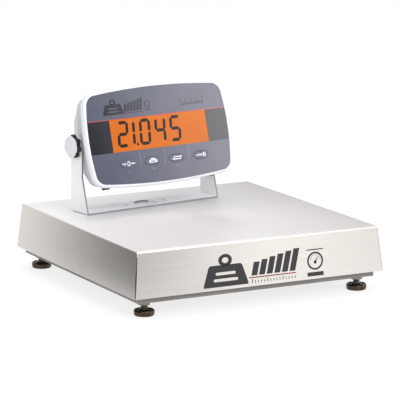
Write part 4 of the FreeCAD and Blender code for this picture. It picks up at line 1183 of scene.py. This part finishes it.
CAMERA_AZIMUTH = -27.77
CAMERA_ELEVATION = 11.22
CAMERA_DISTANCE_M = 3.1625
CAMERA_LENS = 239.3
CAMERA_AIM = Vector((43.3, 72.6, 75.5))


def camera():
    azimuth = math.radians(CAMERA_AZIMUTH)
    rise = math.radians(CAMERA_ELEVATION)
    level = Vector((math.sin(azimuth), -math.cos(azimuth), 0))
    back = level * math.cos(rise) + Vector((0, 0, math.sin(rise)))
    data = bpy.data.cameras.new("camera")
    data.lens = CAMERA_LENS
    data.sensor_width = 36.0
    data.clip_end = 60.0
    made = bpy.data.objects.new("camera", data)
    made.location = CAMERA_AIM * MM + back * CAMERA_DISTANCE_M
    made.rotation_mode = "QUATERNION"
    made.rotation_quaternion = (-back).to_track_quat("-Z", "Y")
    bpy.context.scene.collection.objects.link(made)
    bpy.context.scene.camera = made


def area_light(name, place, aim, size, watts):
    data = bpy.data.lights.new(name, "AREA")
    data.shape = "RECTANGLE"
    data.size, data.size_y = size
    data.energy = watts
    made = bpy.data.objects.new(name, data)
    made.location = place
    made.rotation_mode = "QUATERNION"
    made.rotation_quaternion = (Vector(aim) - Vector(place)).to_track_quat("-Z", "Y")
    bpy.context.scene.collection.objects.link(made)


def staged_sheet(name, half_x, half_y, material):
    """A flat rectangle about its own middle that is staging, not part of the scale."""
    mesh = bpy.data.meshes.new(name)
    mesh.from_pydata([(-half_x, -half_y, 0), (half_x, -half_y, 0), (half_x, half_y, 0),
                      (-half_x, half_y, 0)], [], [(0, 1, 2, 3)])
    mesh.materials.append(material)
    made = bpy.data.objects.new(name, mesh)
    bpy.context.scene.collection.objects.link(made)
    return made


CARD_TINT = (1.0, 0.985, 0.975)


def card(name, middle, towards, size, stops, strength):
    """A panel that only glossy rays see; stops are (place along it, level) from 0 to 1."""
    make = Nodes(name)
    place = make.add("ShaderNodeSeparateXYZ", Vector=make.place).outputs["X"]
    along = make.ranged(place, 0.0, 1.0, -size[0] / 2, size[0] / 2)
    ramp = make.add("ShaderNodeValToRGB", Fac=along)
    ramp.color_ramp.interpolation = "EASE"
    while len(ramp.color_ramp.elements) < len(stops):
        ramp.color_ramp.elements.new(0.5)
    for element, (spot, level) in zip(ramp.color_ramp.elements, stops):
        element.position = spot
        element.color = [level * part for part in CARD_TINT] + [1.0]
    glow = make.add("ShaderNodeEmission", Color=ramp.outputs["Color"], Strength=strength)
    make.feed(make.tree.nodes["Material Output"].inputs["Surface"], glow.outputs["Emission"])
    made = staged_sheet(name, size[0] / 2, size[1] / 2, make.material)
    z = Vector(towards).normalized()
    x = Vector((0, 0, 1)).cross(z).normalized()
    made.matrix_world = axes(x, z.cross(x), z, Vector(middle))
    made.visible_camera = False
    made.visible_diffuse = False
    made.visible_shadow = False
    made.visible_transmission = False


def studio():
    world = bpy.data.worlds.new("studio")
    world.use_nodes = True
    sky = world.node_tree.nodes["Background"]
    sky.inputs["Color"].default_value = (0.97, 0.98, 1.0, 1.0)
    sky.inputs["Strength"].default_value = 0.75
    bpy.context.scene.world = world
    area_light("key_light", (0.3, -2.2, 1.5), (0, 0, 0.05), (1.6, 1.2), 30)
    area_light("fill_light", (-1.6, -1.2, 1.4), (0, 0, 0.1), (1.4, 1.4), 5)
    area_light("top_light", (0.2, 0.6, 2.4), (0, 0, 0.1), (2.0, 2.0), 16)
    bpy.context.scene.view_settings.view_transform = "Standard"
    card("face_card", (0.79, -0.79, 0.43), (-0.68, 0.70, -0.21), (1.1, 0.38),
         ((0.0, 1.0), (0.35, 0.85), (0.66, 0.0), (1.0, 0.0)), 6.2)
    card("left_card", (-0.27, 0.22, 0.16), (1, 0, 0), (0.9, 0.32),
         ((0.0, 0.04), (0.3, 0.06), (0.68, 0.9), (1.0, 1.0)), 1.3)
    card("front_card", (0.25, -0.55, 0.1), (0, 1, 0), (1.1, 0.24),
         ((0.0, 0.3), (0.4, 0.5), (0.56, 1.0), (0.68, 0.1), (1.0, 0.0)), 1.9)


def floor():
    """A pale floor that glows, so that its shadows stay faint."""
    make = Nodes("floor_paper")
    cloud = make.noise(0.001)
    paper = make.mixed(cloud, colour("fbfbfb"), colour("f6f6f6"))
    shade = make.mixed(cloud, colour("8c8c8c"), colour("868686"))
    make.set(Base_Color=shade, Roughness=0.9, Specular_IOR_Level=0.1, Emission_Color=paper,
             Emission_Strength=0.82)
    half = 9.0
    staged_sheet("floor", half, half, make.material)


camera()
studio()
floor()
